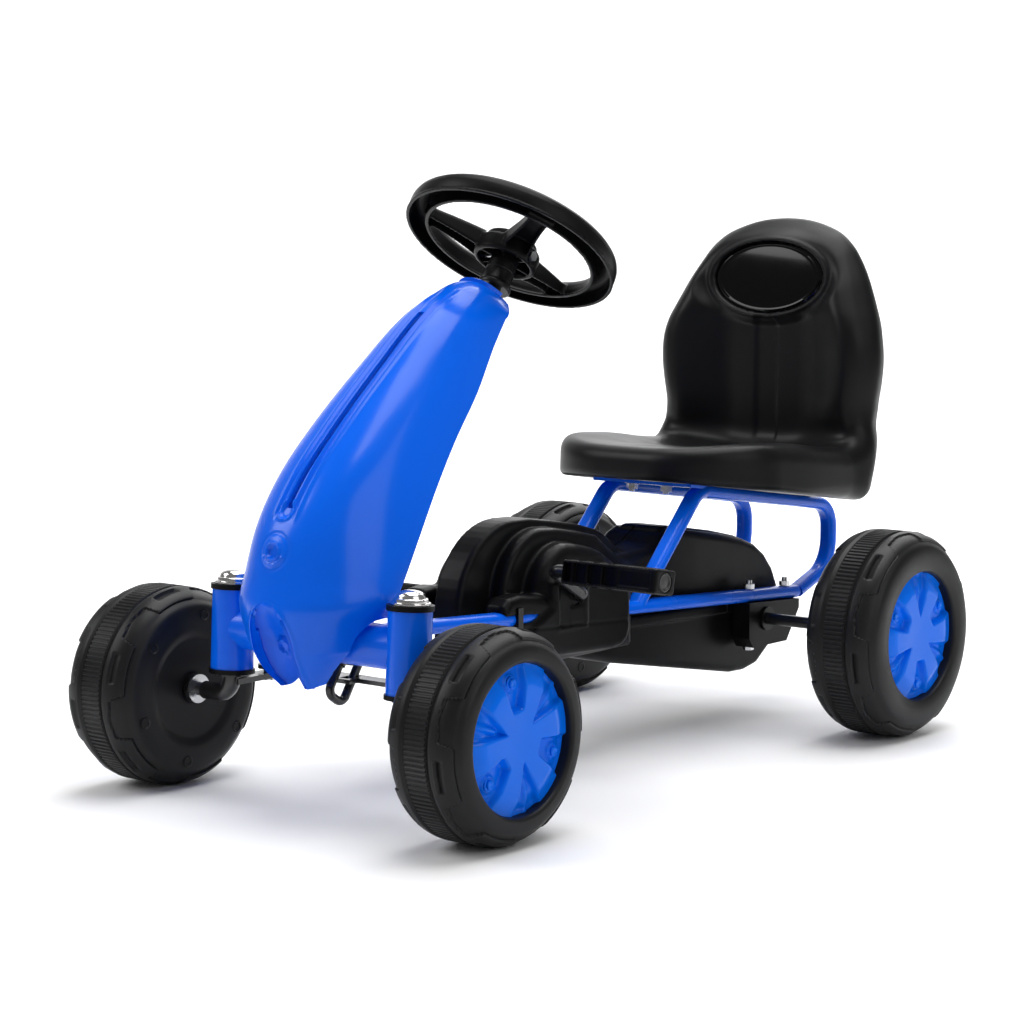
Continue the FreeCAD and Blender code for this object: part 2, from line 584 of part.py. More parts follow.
def hood_full(st, off):
    po = hood_curve(st, off)
    so = Part.BSplineCurve()
    so.interpolate(po)
    return Part.Wire([so.toShape(), Part.LineSegment(po[-1], po[0]).toShape()])


shell = Part.makeLoft([hood_wire(s, H_T) for s in HOOD], True, False)
# closed crown round the column at the top
last = HOOD[-1]
mid_ = (193.0, 451.5, 229.0, 423.5, 30.0, 2.2)
top_ = (207.0, 452.5, 236.0, 431.0, 21.5, 2.1)
crown = Part.makeLoft([hood_full(last, 0), hood_full(mid_, 0), hood_full(top_, 0)], True, False)
crown_i = Part.makeLoft([hood_full((183.5, 444.5, 216.5, 417.0, 30.5, 2.4), 0), hood_full((198.0, 445.0, 227.0, 422.0, 25.0, 2.2), 0)], True, False)
crown = crown.cut(crown_i)
hood = shell.fuse(crown)
hood = hood.cut(Part.makeCylinder(16.5, 60, ax(-90), CA))
# arch over the cross beam, and room behind it
hood = hood.cut(cyl((-120, BEAM_Y, BEAM_Z), (1, 0, 0), 24.0, 240)).cut(box(-120, 120, BEAM_Y - 24, 60, 80, 150))
# long slot down the middle
hood = hood.cut(prism_x([(-46, 270), (-36, 296), (25, 346), (134, 434), (150, 416), (50, 327), (-22, 263)], -3.5, 3.5))
# forked lower lip
hood = hood.cut(prism_x([(-60, 100), (-10, 100), (-10, 125), (-60, 125)], -6, 6))
hood = one(hood)
hood = max(hood.Solids, key=lambda s: s.Volume)
put("hood", hood)
# screw bosses and screws that hold the hood to the beam
strap = box(-34, 34, -2, 14, BEAM_Z + 12, BEAM_Z + 22.0)
tab_l = box(31, 34, -10, 22, BEAM_Z + 19, BEAM_Z + 36)
weld += [strap, tab_l, mirror(tab_l)]
axle_beam = weld[0].multiFuse(weld[1:])
bores += [Part.makeCylinder(12.6, 4.2, ax(-432.2), CA), Part.makeCylinder(12.6, 4.0, ax(-384), CA)]
for q in bores:
    axle_beam = axle_beam.cut(q)
axle_beam = one(axle_beam)
put("front_axle_beam", max(axle_beam.Solids, key=lambda s: s.Volume))

# ------------------------------------------------------- chain and crank case
CASE_T = 2.5
X_SPLIT = -7.0              # plane where the two halves meet


def outline_front(c, r, back, bottom):
    """arch: circle c, r in front and on top, sloping back line, flat bottom"""
    (cy, cz) = c
    p1 = V(0, cy - r, cz)
    p2 = V(0, cy, cz + r)
    edges = [Part.Arc(V(0, cy - r, cz), V(0, cy - r * cos(pi / 4), cz + r * sin(pi / 4)), p2).toShape()]
    pts = [p2] + [V(0, *b) for b in back] + [V(0, back[-1][0], bottom[1]), V(0, bottom[0], bottom[2]), p1]
    for a, b in zip(pts[:-1], pts[1:]):
        edges.append(Part.LineSegment(a, b).toShape())
    return Part.Face(Part.Wire(edges))


def lobe(c, r, back, bottom, xa, xb):
    f = outline_front(c, r, back, bottom)
    f.translate(V(xa, 0, 0))
    return f.extrude(V(xb - xa, 0, 0))


def case_solid(g):
    """stepped casing round the crank, g is the wall taken off all round"""
    A = lobe((245, 150), 82 - g, [(372 - g, 211 - g), (424 - g, 176 - g)], (173 + g, 84 + g, 120 + g), X_SPLIT + g, 22 - g)
    A2 = lobe((238, 165), 50 - g, [(330 - g, 202 - g), (424 - g, 176 - g)], (191 + g, 84 + g, 120 + g), -24 + g, X_SPLIT + 2 * g)
    B = lobe((262, 158), 65 - g, [(350 - g, 209 - g), (404 - g, 174 - g)], (203 + g, 86 + g, 112 + g), 0, 38 - g)
    B2 = lobe((252, 158), 50 - g, [(340 - g, 198 - g), (404 - g, 174 - g)], (207 + g, 86 + g, 112 + g), -38 + g, 0)
    C = lobe((268, 155), 54 - g, [(330 - g, 199 - g), (384 - g, 170 - g)], (220 + g, 88 + g, 108 + g), 0, 58 - g)
    C2 = lobe((266, 155), 50 - g, [(330 - g, 196 - g), (384 - g, 170 - g)], (222 + g, 88 + g, 108 + g), -58 + g, 0)
    C = C.fuse(C2).common(box(-80, 80, 100, 500, 158.0 if g == 0 else 150.0, 300))
    return A.fuse(A2).fuse(B).fuse(B2).fuse(C)


def chain_solid(g):
    """long box round the chain run back to the rear axle"""
    front = [(400, 120), (400, 196)] if g == 0 else [(400, 120), (400, 164), (400 + g, 174), (400 + g, 195 - g)]
    up = prism_x(front + [(440, 205 - g), (496, 198 - g), (640, 174 - g), (660, 150 - g * .5), (674 - g, 120), (674 - g, 96)], -38 + g, 38 - g)
    lo = prism_x([(300, 130), (300, 96 + g), (590, 44 + g), (625, 47 + g), (652 - g, 66 + g), (674 - g, 96), (674 - g, 131)], -38 + g, 38 - g)
    return up.fuse(lo).fuse(prism_x([(300, 96 + g), (300, 170), (420, 176), (674 - g, 131), (674 - g, 96), (590, 44 + g)], -38 + g, 38 - g))


outer = case_solid(0).fuse(chain_solid(0)).removeSplitter()
inner = case_solid(CASE_T).fuse(chain_solid(CASE_T)).removeSplitter()
case = outer.cut(inner)
# skirts over the rails either side of the crank
skirt = box(46, 66, 204, 366, 106, 176).cut(box(45, 63.3, 200, 400, 100, 173))
skirt = skirt.cut(box(60, 70, 236, 296, 150, 180))
# holes for the crank, the rear axle and the bush seats
hole_c = cyl((-80, PED_Y, PED_Z), (1, 0, 0), 9.0, 160)
hole_a = cyl((-80, AXLE_Y, AXLE_Z), (1, 0, 0), 9.0, 160)
case = case.cut(hole_c).cut(hole_a)
keep_l = box(X_SPLIT, 100, 100, 800, 0, 300)
keep_r = box(-100, X_SPLIT, 100, 800, 0, 300)
# upper shells split on the centre line, one-piece tray below the rail line
tray_cut = prism_x([(280, 20), (280, 108), (430, 98), (700, 82), (700, 20)], -60, 60)
tray = case.common(tray_cut)
tray = max(one(tray).Solids, key=lambda s: s.Volume)
put("chain_case_tray", tray)
upper = case.cut(tray_cut)
for sx, nm, kp_ in ((1, "left", keep_l), (-1, "right", keep_r)):
    h = upper.common(kp_)
    h = max(h.Solids, key=lambda s: s.Volume)
    sk = skirt if sx > 0 else mirror(skirt)
    h = one(h.fuse(sk))
    tubes["case_" + nm] = h
    put("chain_case_" + nm, max(h.Solids, key=lambda s: s.Volume))

# crank bearing stands on the rails, with bushes
stands = []
for sx, nm in ((1, "left"), (-1, "right")):
    zr = rail_z(PED_Y) + TUBE_B
    st_ = box(46.5, 60.0, PED_Y - 14, PED_Y + 14, zr - 2, PED_Z).fuse(cyl((46.5, PED_Y, PED_Z), (1, 0, 0), 13.0, 13.5))
    st_ = st_ if sx > 0 else mirror(st_)
    st_ = st_.cut(tubes["rail_" + nm]).cut(cyl((-80, PED_Y, PED_Z), (1, 0, 0), 8.5, 160))
    st_ = st_.cut(tubes["case_" + nm])
    stands.append(max(one(st_).Solids, key=lambda s: s.Volume))
put("crank_stands", *stands)
cb = []
for sx in (1, -1):
    b = revolve_x([(sx * 46.5, R_CRANK + .05), (sx * 46.5, 8.45), (sx * 60.05, 8.45), (sx * 60.05, 11.5), (sx * 62.5, 11.5), (sx * 62.5, R_CRANK + .05)], PED_Y, PED_Z)
    cb.append(b)
put("crank_bushes", *cb)

# ----------------------------------------------------------- crank and pedals
pa = radians(PED_ANG)
PL = (PED_Y - PED_R * cos(pa), PED_Z + PED_R * sin(pa))     # left crank pin
PR = (PED_Y + PED_R * cos(pa), PED_Z - PED_R * sin(pa))     # right crank pin
XA = 73.5                                                    # crank arm plane
pts = [(-PED_X[1] + 8, PR[0], PR[1]), (-XA, PR[0], PR[1]), (-XA, PED_Y, PED_Z), (XA, PED_Y, PED_Z), (XA, PL[0], PL[1]), (PED_X[1] - 8, PL[0], PL[1])]
crank = rod(pts, [9.0, 9.0, 9.0, 9.0], R_CRANK)
put("crankshaft", crank)


def pedal(sx, c):
    """ladder-like block: long box with four cells a side, a solid end and a cap over the pin"""
    x0, x1 = (PED_X[0] + 4.0), PED_X[1]
    cy, cz = c
    hy, hz = 15.0, 11.0
    p = box(x0, x1, cy - hy, cy + hy, cz - hz, cz + hz)
    sel = [e for e in p.Edges if abs(e.Vertexes[0].Point.x - e.Vertexes[1].Point.x) > 10]
    p = p.makeFillet(2.5, sel)
    for a, b in ((97.2, 106.1), (107.9, 122.4), (124.2, 138.7), (140.5, 155.0)):
        for s0, s1 in ((cy - hy - 1, cy - 8.6), (cy + 8.6, cy + hy + 1)):
            p = p.cut(box(a, b, s0, s1, cz - hz + 2.2, cz + hz - 2.2))
    p = p.cut(cyl((x0 - 5, cy, cz), (1, 0, 0), R_CRANK + 0.06, x1 - x0 - 2))
    p = p.cut(cyl((x1 - 3.6, cy, cz), (1, 0, 0), 9.1, 6.0))
    r = cyl((x1 - 3.5, cy, cz), (1, 0, 0), 9.0, 2.9)
    p.rotate(V(0, cy, cz), X, -PED_TIP)
    return (mirror(p), mirror(r)) if sx < 0 else (p, r)


for sx, nm, c in ((1, "left", PL), (-1, "right", PR)):
    p, r = pedal(sx, c)
    put(nm + "_pedal", p)
    put(nm + "_pedal_end_cap", r)

# ------------------------------------------------------------- rear bearings
for sx, nm in ((1, "left"), (-1, "right")):
    x = sx * RAIL_X
    blk = prism_x([(571, rail_z(571) - TUBE_B), (663, rail_z(663) - TUBE_B), (663, 106), (640, 74), (578, 74), (571, 84)], x - 10.5, x + 10.5)
    blk = blk.cut(tubes["rail_" + nm]).cut(cyl((-80, AXLE_Y, AXLE_Z), (1, 0, 0), 9.0, 160))
    for y in (585.0, 650.8):
        blk = blk.cut(cyl((x, y, 40), (0, 0, 1), 3.0, 120))
    tubes["blk_" + nm] = blk
bo = []
for sx, nm in ((1, "left"), (-1, "right")):
    x = sx * RAIL_X
    for y in (585.0, 650.8):
        zt = rail_z(y) + TUBE_B + 0.35
        zb = 74.0 if y < 600 else 86.0
        b = fuse(cyl((x, y, zb - 3.0), (0, 0, 1), 3.0, zt + 9.0 - zb + 3.0), hexprism(V(x, y, zb - 3.6), Z, 5.5, 3.6))
        n_ = hexprism(V(x, y, zt), Z, 5.6, 5.0).cut(cyl((x, y, zt - 1), (0, 0, 1), 3.0, 8))
        bo += [b, n_]
        tubes["railh_" + nm] = tubes["railh_" + nm].cut(cyl((x, y, 60), (0, 0, 1), 3.0, 120))
        tubes["blk_" + nm] = tubes["blk_" + nm].cut(b)
put("axle_block_bolts", *bo)
put("rear_axle_blocks", *[max(tubes["blk_" + nm].Solids, key=lambda s: s.Volume) for nm in ("left", "right")])
for nm in ("left", "right"):
    put(nm + "_lower_rail", max(tubes["railh_" + nm].Solids, key=lambda s: s.Volume))
    h = tubes["hooph_" + nm]
    for p in plates:
        h = h.cut(p)
    put(nm + "_seat_hoop", max(h.Solids, key=lambda s: s.Volume))
ab = []
for sx in (1, -1):
    ab.append(revolve_x([(sx * 42.0, R_AXLE + .05), (sx * 42.0, 12.0), (sx * 43.0, 12.0), (sx * 43.0, 8.95), (sx * 64.2, 8.95), (sx * 64.2, 12.0),
                         (sx * 66.5, 12.0), (sx * 66.5, R_AXLE + .05)], AXLE_Y, AXLE_Z))
put("rear_axle_bushes", *ab)

# --------------------------------------------------------------------- seat
# stations along the seat from the front lip, over the pan, up the back:
# seating surface centre (y, z), surface normal angle from +Z towards -Y (deg),
# half width, thickness, height of the side bolsters
SEAT = [(438.5, 276.0, 0, 58, 22, 0), (443.0, 283.0, 0, 79, 30, 0), (452.0, 287.0, 0, 96, 36, 1), (470.0, 287.5, -2, 111, 38, 2),
        (510.0, 284.0, 7, 126, 36, 6), (560.0, 277.0, 10, 131, 34, 9), (610.0, 269.0, 9, 131, 33, 10), (650.0, 264.0, 14, 130, 34, 10),
        (678.0, 272.0, 46, 129, 38, 12), (690.0, 294.0, 78, 127, 37, 17), (692.5, 325.0, 88, 130, 36, 22), (692.5, 365.0, 90, 134, 35, 24),
        (692.5, 405.0, 91, 128, 37, 22), (695.0, 445.0, 93, 108, 41, 14), (702.0, 477.0, 97, 88, 37, 7), (709.0, 494.0, 101, 66, 29, 3),
        (717.0, 504.0, 106, 40, 20, 1)]


def seat_wire(st, g=0.0, n=40):
    """closed section: a soft-cornered slab with raised sides; g is taken off all round"""
    y, z, ang, w, t, b = st
    a = radians(ang)
    nv = V(0, -sin(a), cos(a))
    c = V(0, y, z)
    w2, h2 = w - g, t / 2.0 - g
    pts = []
    for k in range(n):
        q = 2 * pi * (k + 0.5) / n
        cu, su = cos(q), sin(q)
        e = 2.0 / 3.4
        u = w2 * abs(cu) ** e * (1 if cu > 0 else -1)
        v = h2 * abs(su) ** e * (1 if su > 0 else -1)
        f = abs(u) / w
        lift = b * (f ** 2.2 if f < 0.84 else 0.84 ** 2.2 - (f - 0.84) * 1.6)
        pts.append(c + X * u + nv * (v - t / 2.0 + lift))
    s = Part.BSplineCurve()
    s.interpolate(Points=pts, PeriodicFlag=True)
    return Part.Wire([s.toShape()])


seat_o = Part.makeLoft([seat_wire(s) for s in SEAT], True, False)
seat_i = Part.makeLoft([seat_wire(s, 3.5) for s in SEAT[3:-2]], True, False)
seat = seat_o
# flat pads under the pan stand on the cross plates
padz = []
for (y, z) in SEAT_BOLT:
    c = V(0, y, z)
    q = [c + sd * a_ + X * b_ for a_, b_ in ((-13, -34), (13, -34), (13, 34), (-13, 34))]
    padz.append(Part.Face(Part.makePolygon(q + [q[0]])).extrude(sn * 22))
cutp = [V(-150, 0, 0) + V(0, 400, SEAT_BOLT[0][1] + (400 - SEAT_BOLT[0][0]) * tan(slope)),
        V(-150, 0, 0) + V(0, 668, SEAT_BOLT[0][1] + (668 - SEAT_BOLT[0][0]) * tan(slope))]
halfspace = Part.Face(Part.makePolygon([cutp[0], cutp[1], cutp[1] - Z * 60, cutp[0] - Z * 60, cutp[0]])).extrude(V(300, 0, 0))
seat = seat.fuse(padz[0]).fuse(padz[1]).cut(halfspace)
for (y, z) in SEAT_BOLT:
    for b_ in (-SEAT_BOLT_X, SEAT_BOLT_X):
        seat = seat.cut(Part.makeCylinder(3.0, 17, V(b_, y, z) - sn * 1, sn))
# glossy oval plate let into the top of the back, leaning with it
OVAL_LEAN = 8.8
ew = Part.Wire([Part.Ellipse(V(0, 0, 0), 67.0, 37.5).toShape()])
ew.rotate(V(0, 0, 0), X, 90 - OVAL_LEAN)
ew.translate(V(0, 700.5, 447.0))
on_ = V(0, -cos(radians(OVAL_LEAN)), sin(radians(OVAL_LEAN)))
badge = Part.Face(ew).extrude(on_ * 6.0)
pocket = Part.Face(ew).extrude(on_ * 60.0)
seat = seat.cut(pocket)
seat = one(seat)
seat = max(seat.Solids, key=lambda s: s.Volume)
# the moulding is hollow: a closed space inside, clear of the bolt bosses
bosses = [Part.makeCylinder(8.0, 60, V(b_, y, z) - sn * 30, sn) for (y, z) in SEAT_BOLT for b_ in (-SEAT_BOLT_X, SEAT_BOLT_X)]
for q in bosses:
    seat_i = seat_i.cut(q)
hs2 = halfspace.copy()
hs2.translate(sn * 3.5)
seat_i = seat_i.cut(hs2)
pk = Part.Face(ew).extrude(on_ * 70.0)
pk.translate(on_ * -4.0)
seat_i = seat_i.cut(pk)
seat = seat.cut(seat_i)
put("seat", seat)
put("seat_back_oval", badge)
sb = []
for (y, z) in SEAT_BOLT:
    for b_ in (-SEAT_BOLT_X, SEAT_BOLT_X):
        c = V(b_, y, z) - sn * PLATE_T
        st_ = Part.makeCylinder(3.0, 15 + PLATE_T + 8, c - sn * 8, sn)
        n_ = nut(tuple(c - sn * 5.6), tuple(sn), 5.8, 3.0, 5.0)
        w_ = Part.makeCylinder(7.5, 0.6, c - sn * 0.6, sn).cut(Part.makeCylinder(3.0, 4, c - sn * 2, sn))
        sb += [st_, n_, w_]
put("seat_bolts", *sb)

# clips that lock the casing's skirts to the rails
cl = []
for sx in (1, -1):
    for y in (196.0,):
        c = box(RAIL_X - 12, RAIL_X + 12, y, y + 7, rail_z(y) - 10, rail_z(y) + 10.5).cut(tubes["rail_left"])
        c = max(one(c).Solids, key=lambda s: s.Volume)
        cl.append(c if sx > 0 else mirror(c))
put("rail_clips", *cl)

tot = Part.makeCompound(list(OUT.values())).BoundBox
print("nodes", len(OUT), "bbox", [round(v, 1) for v in (tot.XMin, tot.XMax, tot.YMin, tot.YMax, tot.ZMin, tot.ZMax)])
for k, s in OUT.items():
    bad = [q for q in s.Solids if not q.isValid() or q.Volume <= 0]
    b = s.BoundBox
    print("%-28s n=%d vol=%.0f %s y[%.0f %.0f] z[%.0f %.0f] x[%.0f %.0f]" % (k, len(s.Solids), s.Volume, "BAD" if bad else "", b.YMin + Y0, b.YMax + Y0, b.ZMin, b.ZMax, b.XMin, b.XMax))
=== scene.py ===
import json
import math
import bpy
import bmesh
import numpy as np
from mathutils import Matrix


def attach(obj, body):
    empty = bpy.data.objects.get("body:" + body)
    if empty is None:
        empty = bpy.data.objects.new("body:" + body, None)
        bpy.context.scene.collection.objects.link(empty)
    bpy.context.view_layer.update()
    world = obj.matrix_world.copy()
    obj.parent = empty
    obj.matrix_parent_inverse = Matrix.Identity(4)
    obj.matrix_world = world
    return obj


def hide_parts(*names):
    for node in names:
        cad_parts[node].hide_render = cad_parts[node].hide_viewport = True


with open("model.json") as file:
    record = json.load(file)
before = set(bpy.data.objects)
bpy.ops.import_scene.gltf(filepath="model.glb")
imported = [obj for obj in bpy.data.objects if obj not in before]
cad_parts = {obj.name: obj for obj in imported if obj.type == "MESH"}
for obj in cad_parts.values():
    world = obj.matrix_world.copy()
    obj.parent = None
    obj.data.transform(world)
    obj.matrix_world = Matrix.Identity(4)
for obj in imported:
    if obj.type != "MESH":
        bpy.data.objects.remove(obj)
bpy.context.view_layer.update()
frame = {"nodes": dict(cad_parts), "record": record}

import openvdb as vdb
from mathutils import Vector

Y0 = 325.5          # front axle to the middle of the overall length, mm
NODES = frame["nodes"]
SCENE = bpy.context.scene
COL = SCENE.collection


# ------------------------------------------------------------------ helpers
def metres(p):
    p = np.asarray(p, float).reshape(-1, 3)
    return (p - [0, Y0, 0]) / 1000.0


def smooth(e0, e1, x):
    t = np.clip((np.asarray(x, float) - e0) / (e1 - e0), 0, 1)
    return t * t * (3 - 2 * t)


def bump(x, w):
    """soft hill of half width w"""
    t = np.clip(np.abs(x) / w, 0, 1)
    return (1 - t * t) ** 2


def new_mesh(name, verts, faces, mat, body, replaces=(), angle=32.0, merge=0.0):
    """verts in millimetres in the front axle's frame"""
    me = bpy.data.meshes.new(name)
    me.from_pydata([tuple(v) for v in metres(verts)], [], [tuple(int(i) for i in f) for f in faces])
    ob = bpy.data.objects.new(name, me)
    COL.objects.link(ob)
    bm = bmesh.new()
    bm.from_mesh(me)
    if merge:
        bmesh.ops.remove_doubles(bm, verts=bm.verts, dist=merge)
    bmesh.ops.recalc_face_normals(bm, faces=bm.faces)
    mark(bm, angle)
    bm.to_mesh(me)
    bm.free()
    me.materials.append(mat)
    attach(ob, body)
    if replaces:
        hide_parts(*replaces)
    return ob


def mark(bm, angle):
    a = math.radians(angle)
    for f in bm.faces:
        f.smooth = True
    for e in bm.edges:
        e.smooth = not (len(e.link_faces) == 2 and e.calc_face_angle(0.0) > a)


def grid_faces(nu, nv, wrap_u=False, wrap_v=False, flip=False):
    i = np.arange(nu if wrap_u else nu - 1)
    j = np.arange(nv if wrap_v else nv - 1)
    I, J = np.meshgrid(i, j, indexing="ij")
    I2, J2 = (I + 1) % nu, (J + 1) % nv
    q = np.stack([I * nv + J, I2 * nv + J, I2 * nv + J2, I * nv + J2], -1).reshape(-1, 4)
    return q[:, ::-1] if flip else q


def interp_rows(rows, n, closed=False):
    """smooth rows (Catmull-Rom through every station), n steps over the whole run, near even in length"""
    R = np.asarray(rows, float)
    k = len(R)
    ext = np.vstack([2 * R[0] - R[1], R, 2 * R[-1] - R[-2]])
    dist = np.concatenate([[0], np.cumsum(np.linalg.norm(np.diff(R[:, :2], axis=0), axis=1) + 1e-6)])
    s = np.linspace(0, dist[-1], n)
    out = []
    for v in s:
        i = min(int(np.searchsorted(dist, v, side="right") - 1), k - 2)
        t = (v - dist[i]) / (dist[i + 1] - dist[i])
        p0, p1, p2, p3 = ext[i], ext[i + 1], ext[i + 2], ext[i + 3]
        d1 = dist[i + 1] - dist[i]
        d0 = dist[i] - dist[i - 1] if i > 0 else d1
        d2 = dist[i + 2] - dist[i + 1] if i + 2 < k else d1
        m1 = ((p1 - p0) / d0 + (p2 - p1) / d1) / 2 * d1
        m2 = ((p2 - p1) / d1 + (p3 - p2) / d2) / 2 * d1
        if i == 0:
            m1 = p2 - p1
        if i + 2 >= k:
            m2 = p2 - p1
        h = (2 * t ** 3 - 3 * t ** 2 + 1, t ** 3 - 2 * t ** 2 + t, -2 * t ** 3 + 3 * t ** 2, t ** 3 - t ** 2)
        out.append(h[0] * p1 + h[1] * m1 + h[2] * p2 + h[3] * m2)
    return np.array(out), s


# --------------------------------------------------- solids from distances
def sd_box(x, y, z, c, h, r=0.0):
    qx, qy, qz = np.abs(x - c[0]) - (h[0] - r), np.abs(y - c[1]) - (h[1] - r), np.abs(z - c[2]) - (h[2] - r)
    o = np.sqrt(np.maximum(qx, 0) ** 2 + np.maximum(qy, 0) ** 2 + np.maximum(qz, 0) ** 2)
    return o + np.minimum(np.maximum(qx, np.maximum(qy, qz)), 0) - r


def sd_poly(u, v, pts):
    """signed distance to a polygon in a plane"""
    P = np.asarray(pts, float)
    d = np.full(np.broadcast(u, v).shape, 1e9)
    s = np.ones(d.shape)
    n = len(P)
    for i in range(n):
        a, b = P[i], P[(i - 1) % n]
        ex, ey = b[0] - a[0], b[1] - a[1]
        wx, wy = u - a[0], v - a[1]
        t = np.clip((wx * ex + wy * ey) / (ex * ex + ey * ey), 0, 1)
        d = np.minimum(d, (wx - ex * t) ** 2 + (wy - ey * t) ** 2)
        c1, c2, c3 = v >= a[1], v < b[1], ex * wy > ey * wx
        flip = (c1 & c2 & c3) | (~c1 & ~c2 & ~c3)
        s = np.where(flip, -s, s)
    return s * np.sqrt(d)


def extrude(d2, w, half, r=0.0):
    """profile distance d2 with thickness 2*half along w, edges rounded by r"""
    a, b = d2 + r, np.abs(w) - half + r
    return np.minimum(np.maximum(a, b), 0) + np.sqrt(np.maximum(a, 0) ** 2 + np.maximum(b, 0) ** 2) - r


def smin(a, b, k):
    h = np.clip(0.5 + 0.5 * (b - a) / k, 0, 1)
    return b * (1 - h) + a * h - k * h * (1 - h)


def smax(a, b, k):
    return -smin(-a, -b, k)


def solid(name, f, lo, hi, h, mat, body, replaces=(), angle=40.0, place=None):
    lo, hi = np.asarray(lo, float), np.asarray(hi, float)
    n = np.ceil((hi - lo) / h).astype(int) + 1
    ax = [lo[i] + h * np.arange(n[i]) for i in range(3)]
    A = f(ax[0][:, None, None], ax[1][None, :, None], ax[2][None, None, :])
    A = np.clip(np.broadcast_to(A, tuple(n)), -3 * h, 3 * h).astype(np.float32)
    g = vdb.FloatGrid(3 * h)
    g.copyFromArray(np.ascontiguousarray(A))
    p, q = g.convertToQuads(isovalue=0.0)
    p = np.asarray(p, float) * h + lo
    if place is not None:
        p = place(p)
    return new_mesh(name, p, np.asarray(q), mat, body, replaces, angle)


def lathe(name, prof, n, place, mat, body, replaces=(), angle=34.0):
    """closed profile of (radius, height) turned about the local third axis"""
    P = np.array(prof, float)
    th = 2 * np.pi * np.arange(n) / n
    V = np.array([[(r * math.cos(t), r * math.sin(t), h) for t in th] for r, h in P]).reshape(-1, 3)
    F = [tuple(f) for f in grid_faces(len(P), n, False, True)]
    if P[0][0] > 0.5 and P[-1][0] > 0.5:
        F += [((len(P) - 1) * n + j, (len(P) - 1) * n + (j + 1) % n, (j + 1) % n, j) for j in range(n)]
    else:
        F.append(tuple(range(n))[::-1])
        F.append(tuple((len(P) - 1) * n + j for j in range(n)))
    return new_mesh(name, place(V), F, mat, body, replaces, angle)


# ---------------------------------------------------------------- materials
def material(name, base, rough, metal=0.0, coat=0.0, coat_rough=0.05, spec=0.5, tint=0.06, rvar=0.05, grain=0.0, grain_size=900.0,
             large=18.0, wear=None):
    m = bpy.data.materials.new(name)
    m.use_nodes = True
    nt = m.node_tree
    N, L = nt.nodes, nt.links
    b = N["Principled BSDF"]
    b.inputs["Metallic"].default_value = metal
    b.inputs["Specular IOR Level"].default_value = spec
    b.inputs["Coat Weight"].default_value = coat
    b.inputs["Coat Roughness"].default_value = coat_rough
    tc = N.new("ShaderNodeTexCoord")
    n1 = N.new("ShaderNodeTexNoise")
    n1.inputs["Scale"].default_value = large
    n1.inputs["Detail"].default_value = 4.0
    L.new(tc.outputs["Object"], n1.inputs["Vector"])
    mr = N.new("ShaderNodeMapRange")
    mr.inputs["From Min"].default_value = 0.3
    mr.inputs["From Max"].default_value = 0.7
    mr.inputs["To Min"].default_value = max(rough - rvar, 0.02)
    mr.inputs["To Max"].default_value = min(rough + rvar, 1.0)
    L.new(n1.outputs["Fac"], mr.inputs["Value"])
    L.new(mr.outputs["Result"], b.inputs["Roughness"])
    mix = N.new("ShaderNodeMix")
    mix.data_type = "RGBA"
    c = np.array(base, float)
    mix.inputs[6].default_value = (*np.clip(c * (1 - tint), 0, 1), 1)
    mix.inputs[7].default_value = (*np.clip(c * (1 + tint) + 0.0005, 0, 1), 1)
    L.new(n1.outputs["Fac"], mix.inputs[0])
    L.new(mix.outputs[2], b.inputs["Base Color"])
    if grain > 0:
        n2 = N.new("ShaderNodeTexNoise")
        n2.inputs["Scale"].default_value = grain_size
        n2.inputs["Detail"].default_value = 3.0
        L.new(tc.outputs["Object"], n2.inputs["Vector"])
        bp = N.new("ShaderNodeBump")
        bp.inputs["Strength"].default_value = grain
        bp.inputs["Distance"].default_value = 0.0002
        L.new(n2.outputs["Fac"], bp.inputs["Height"])
        L.new(bp.outputs["Normal"], b.inputs["Normal"])
    return m


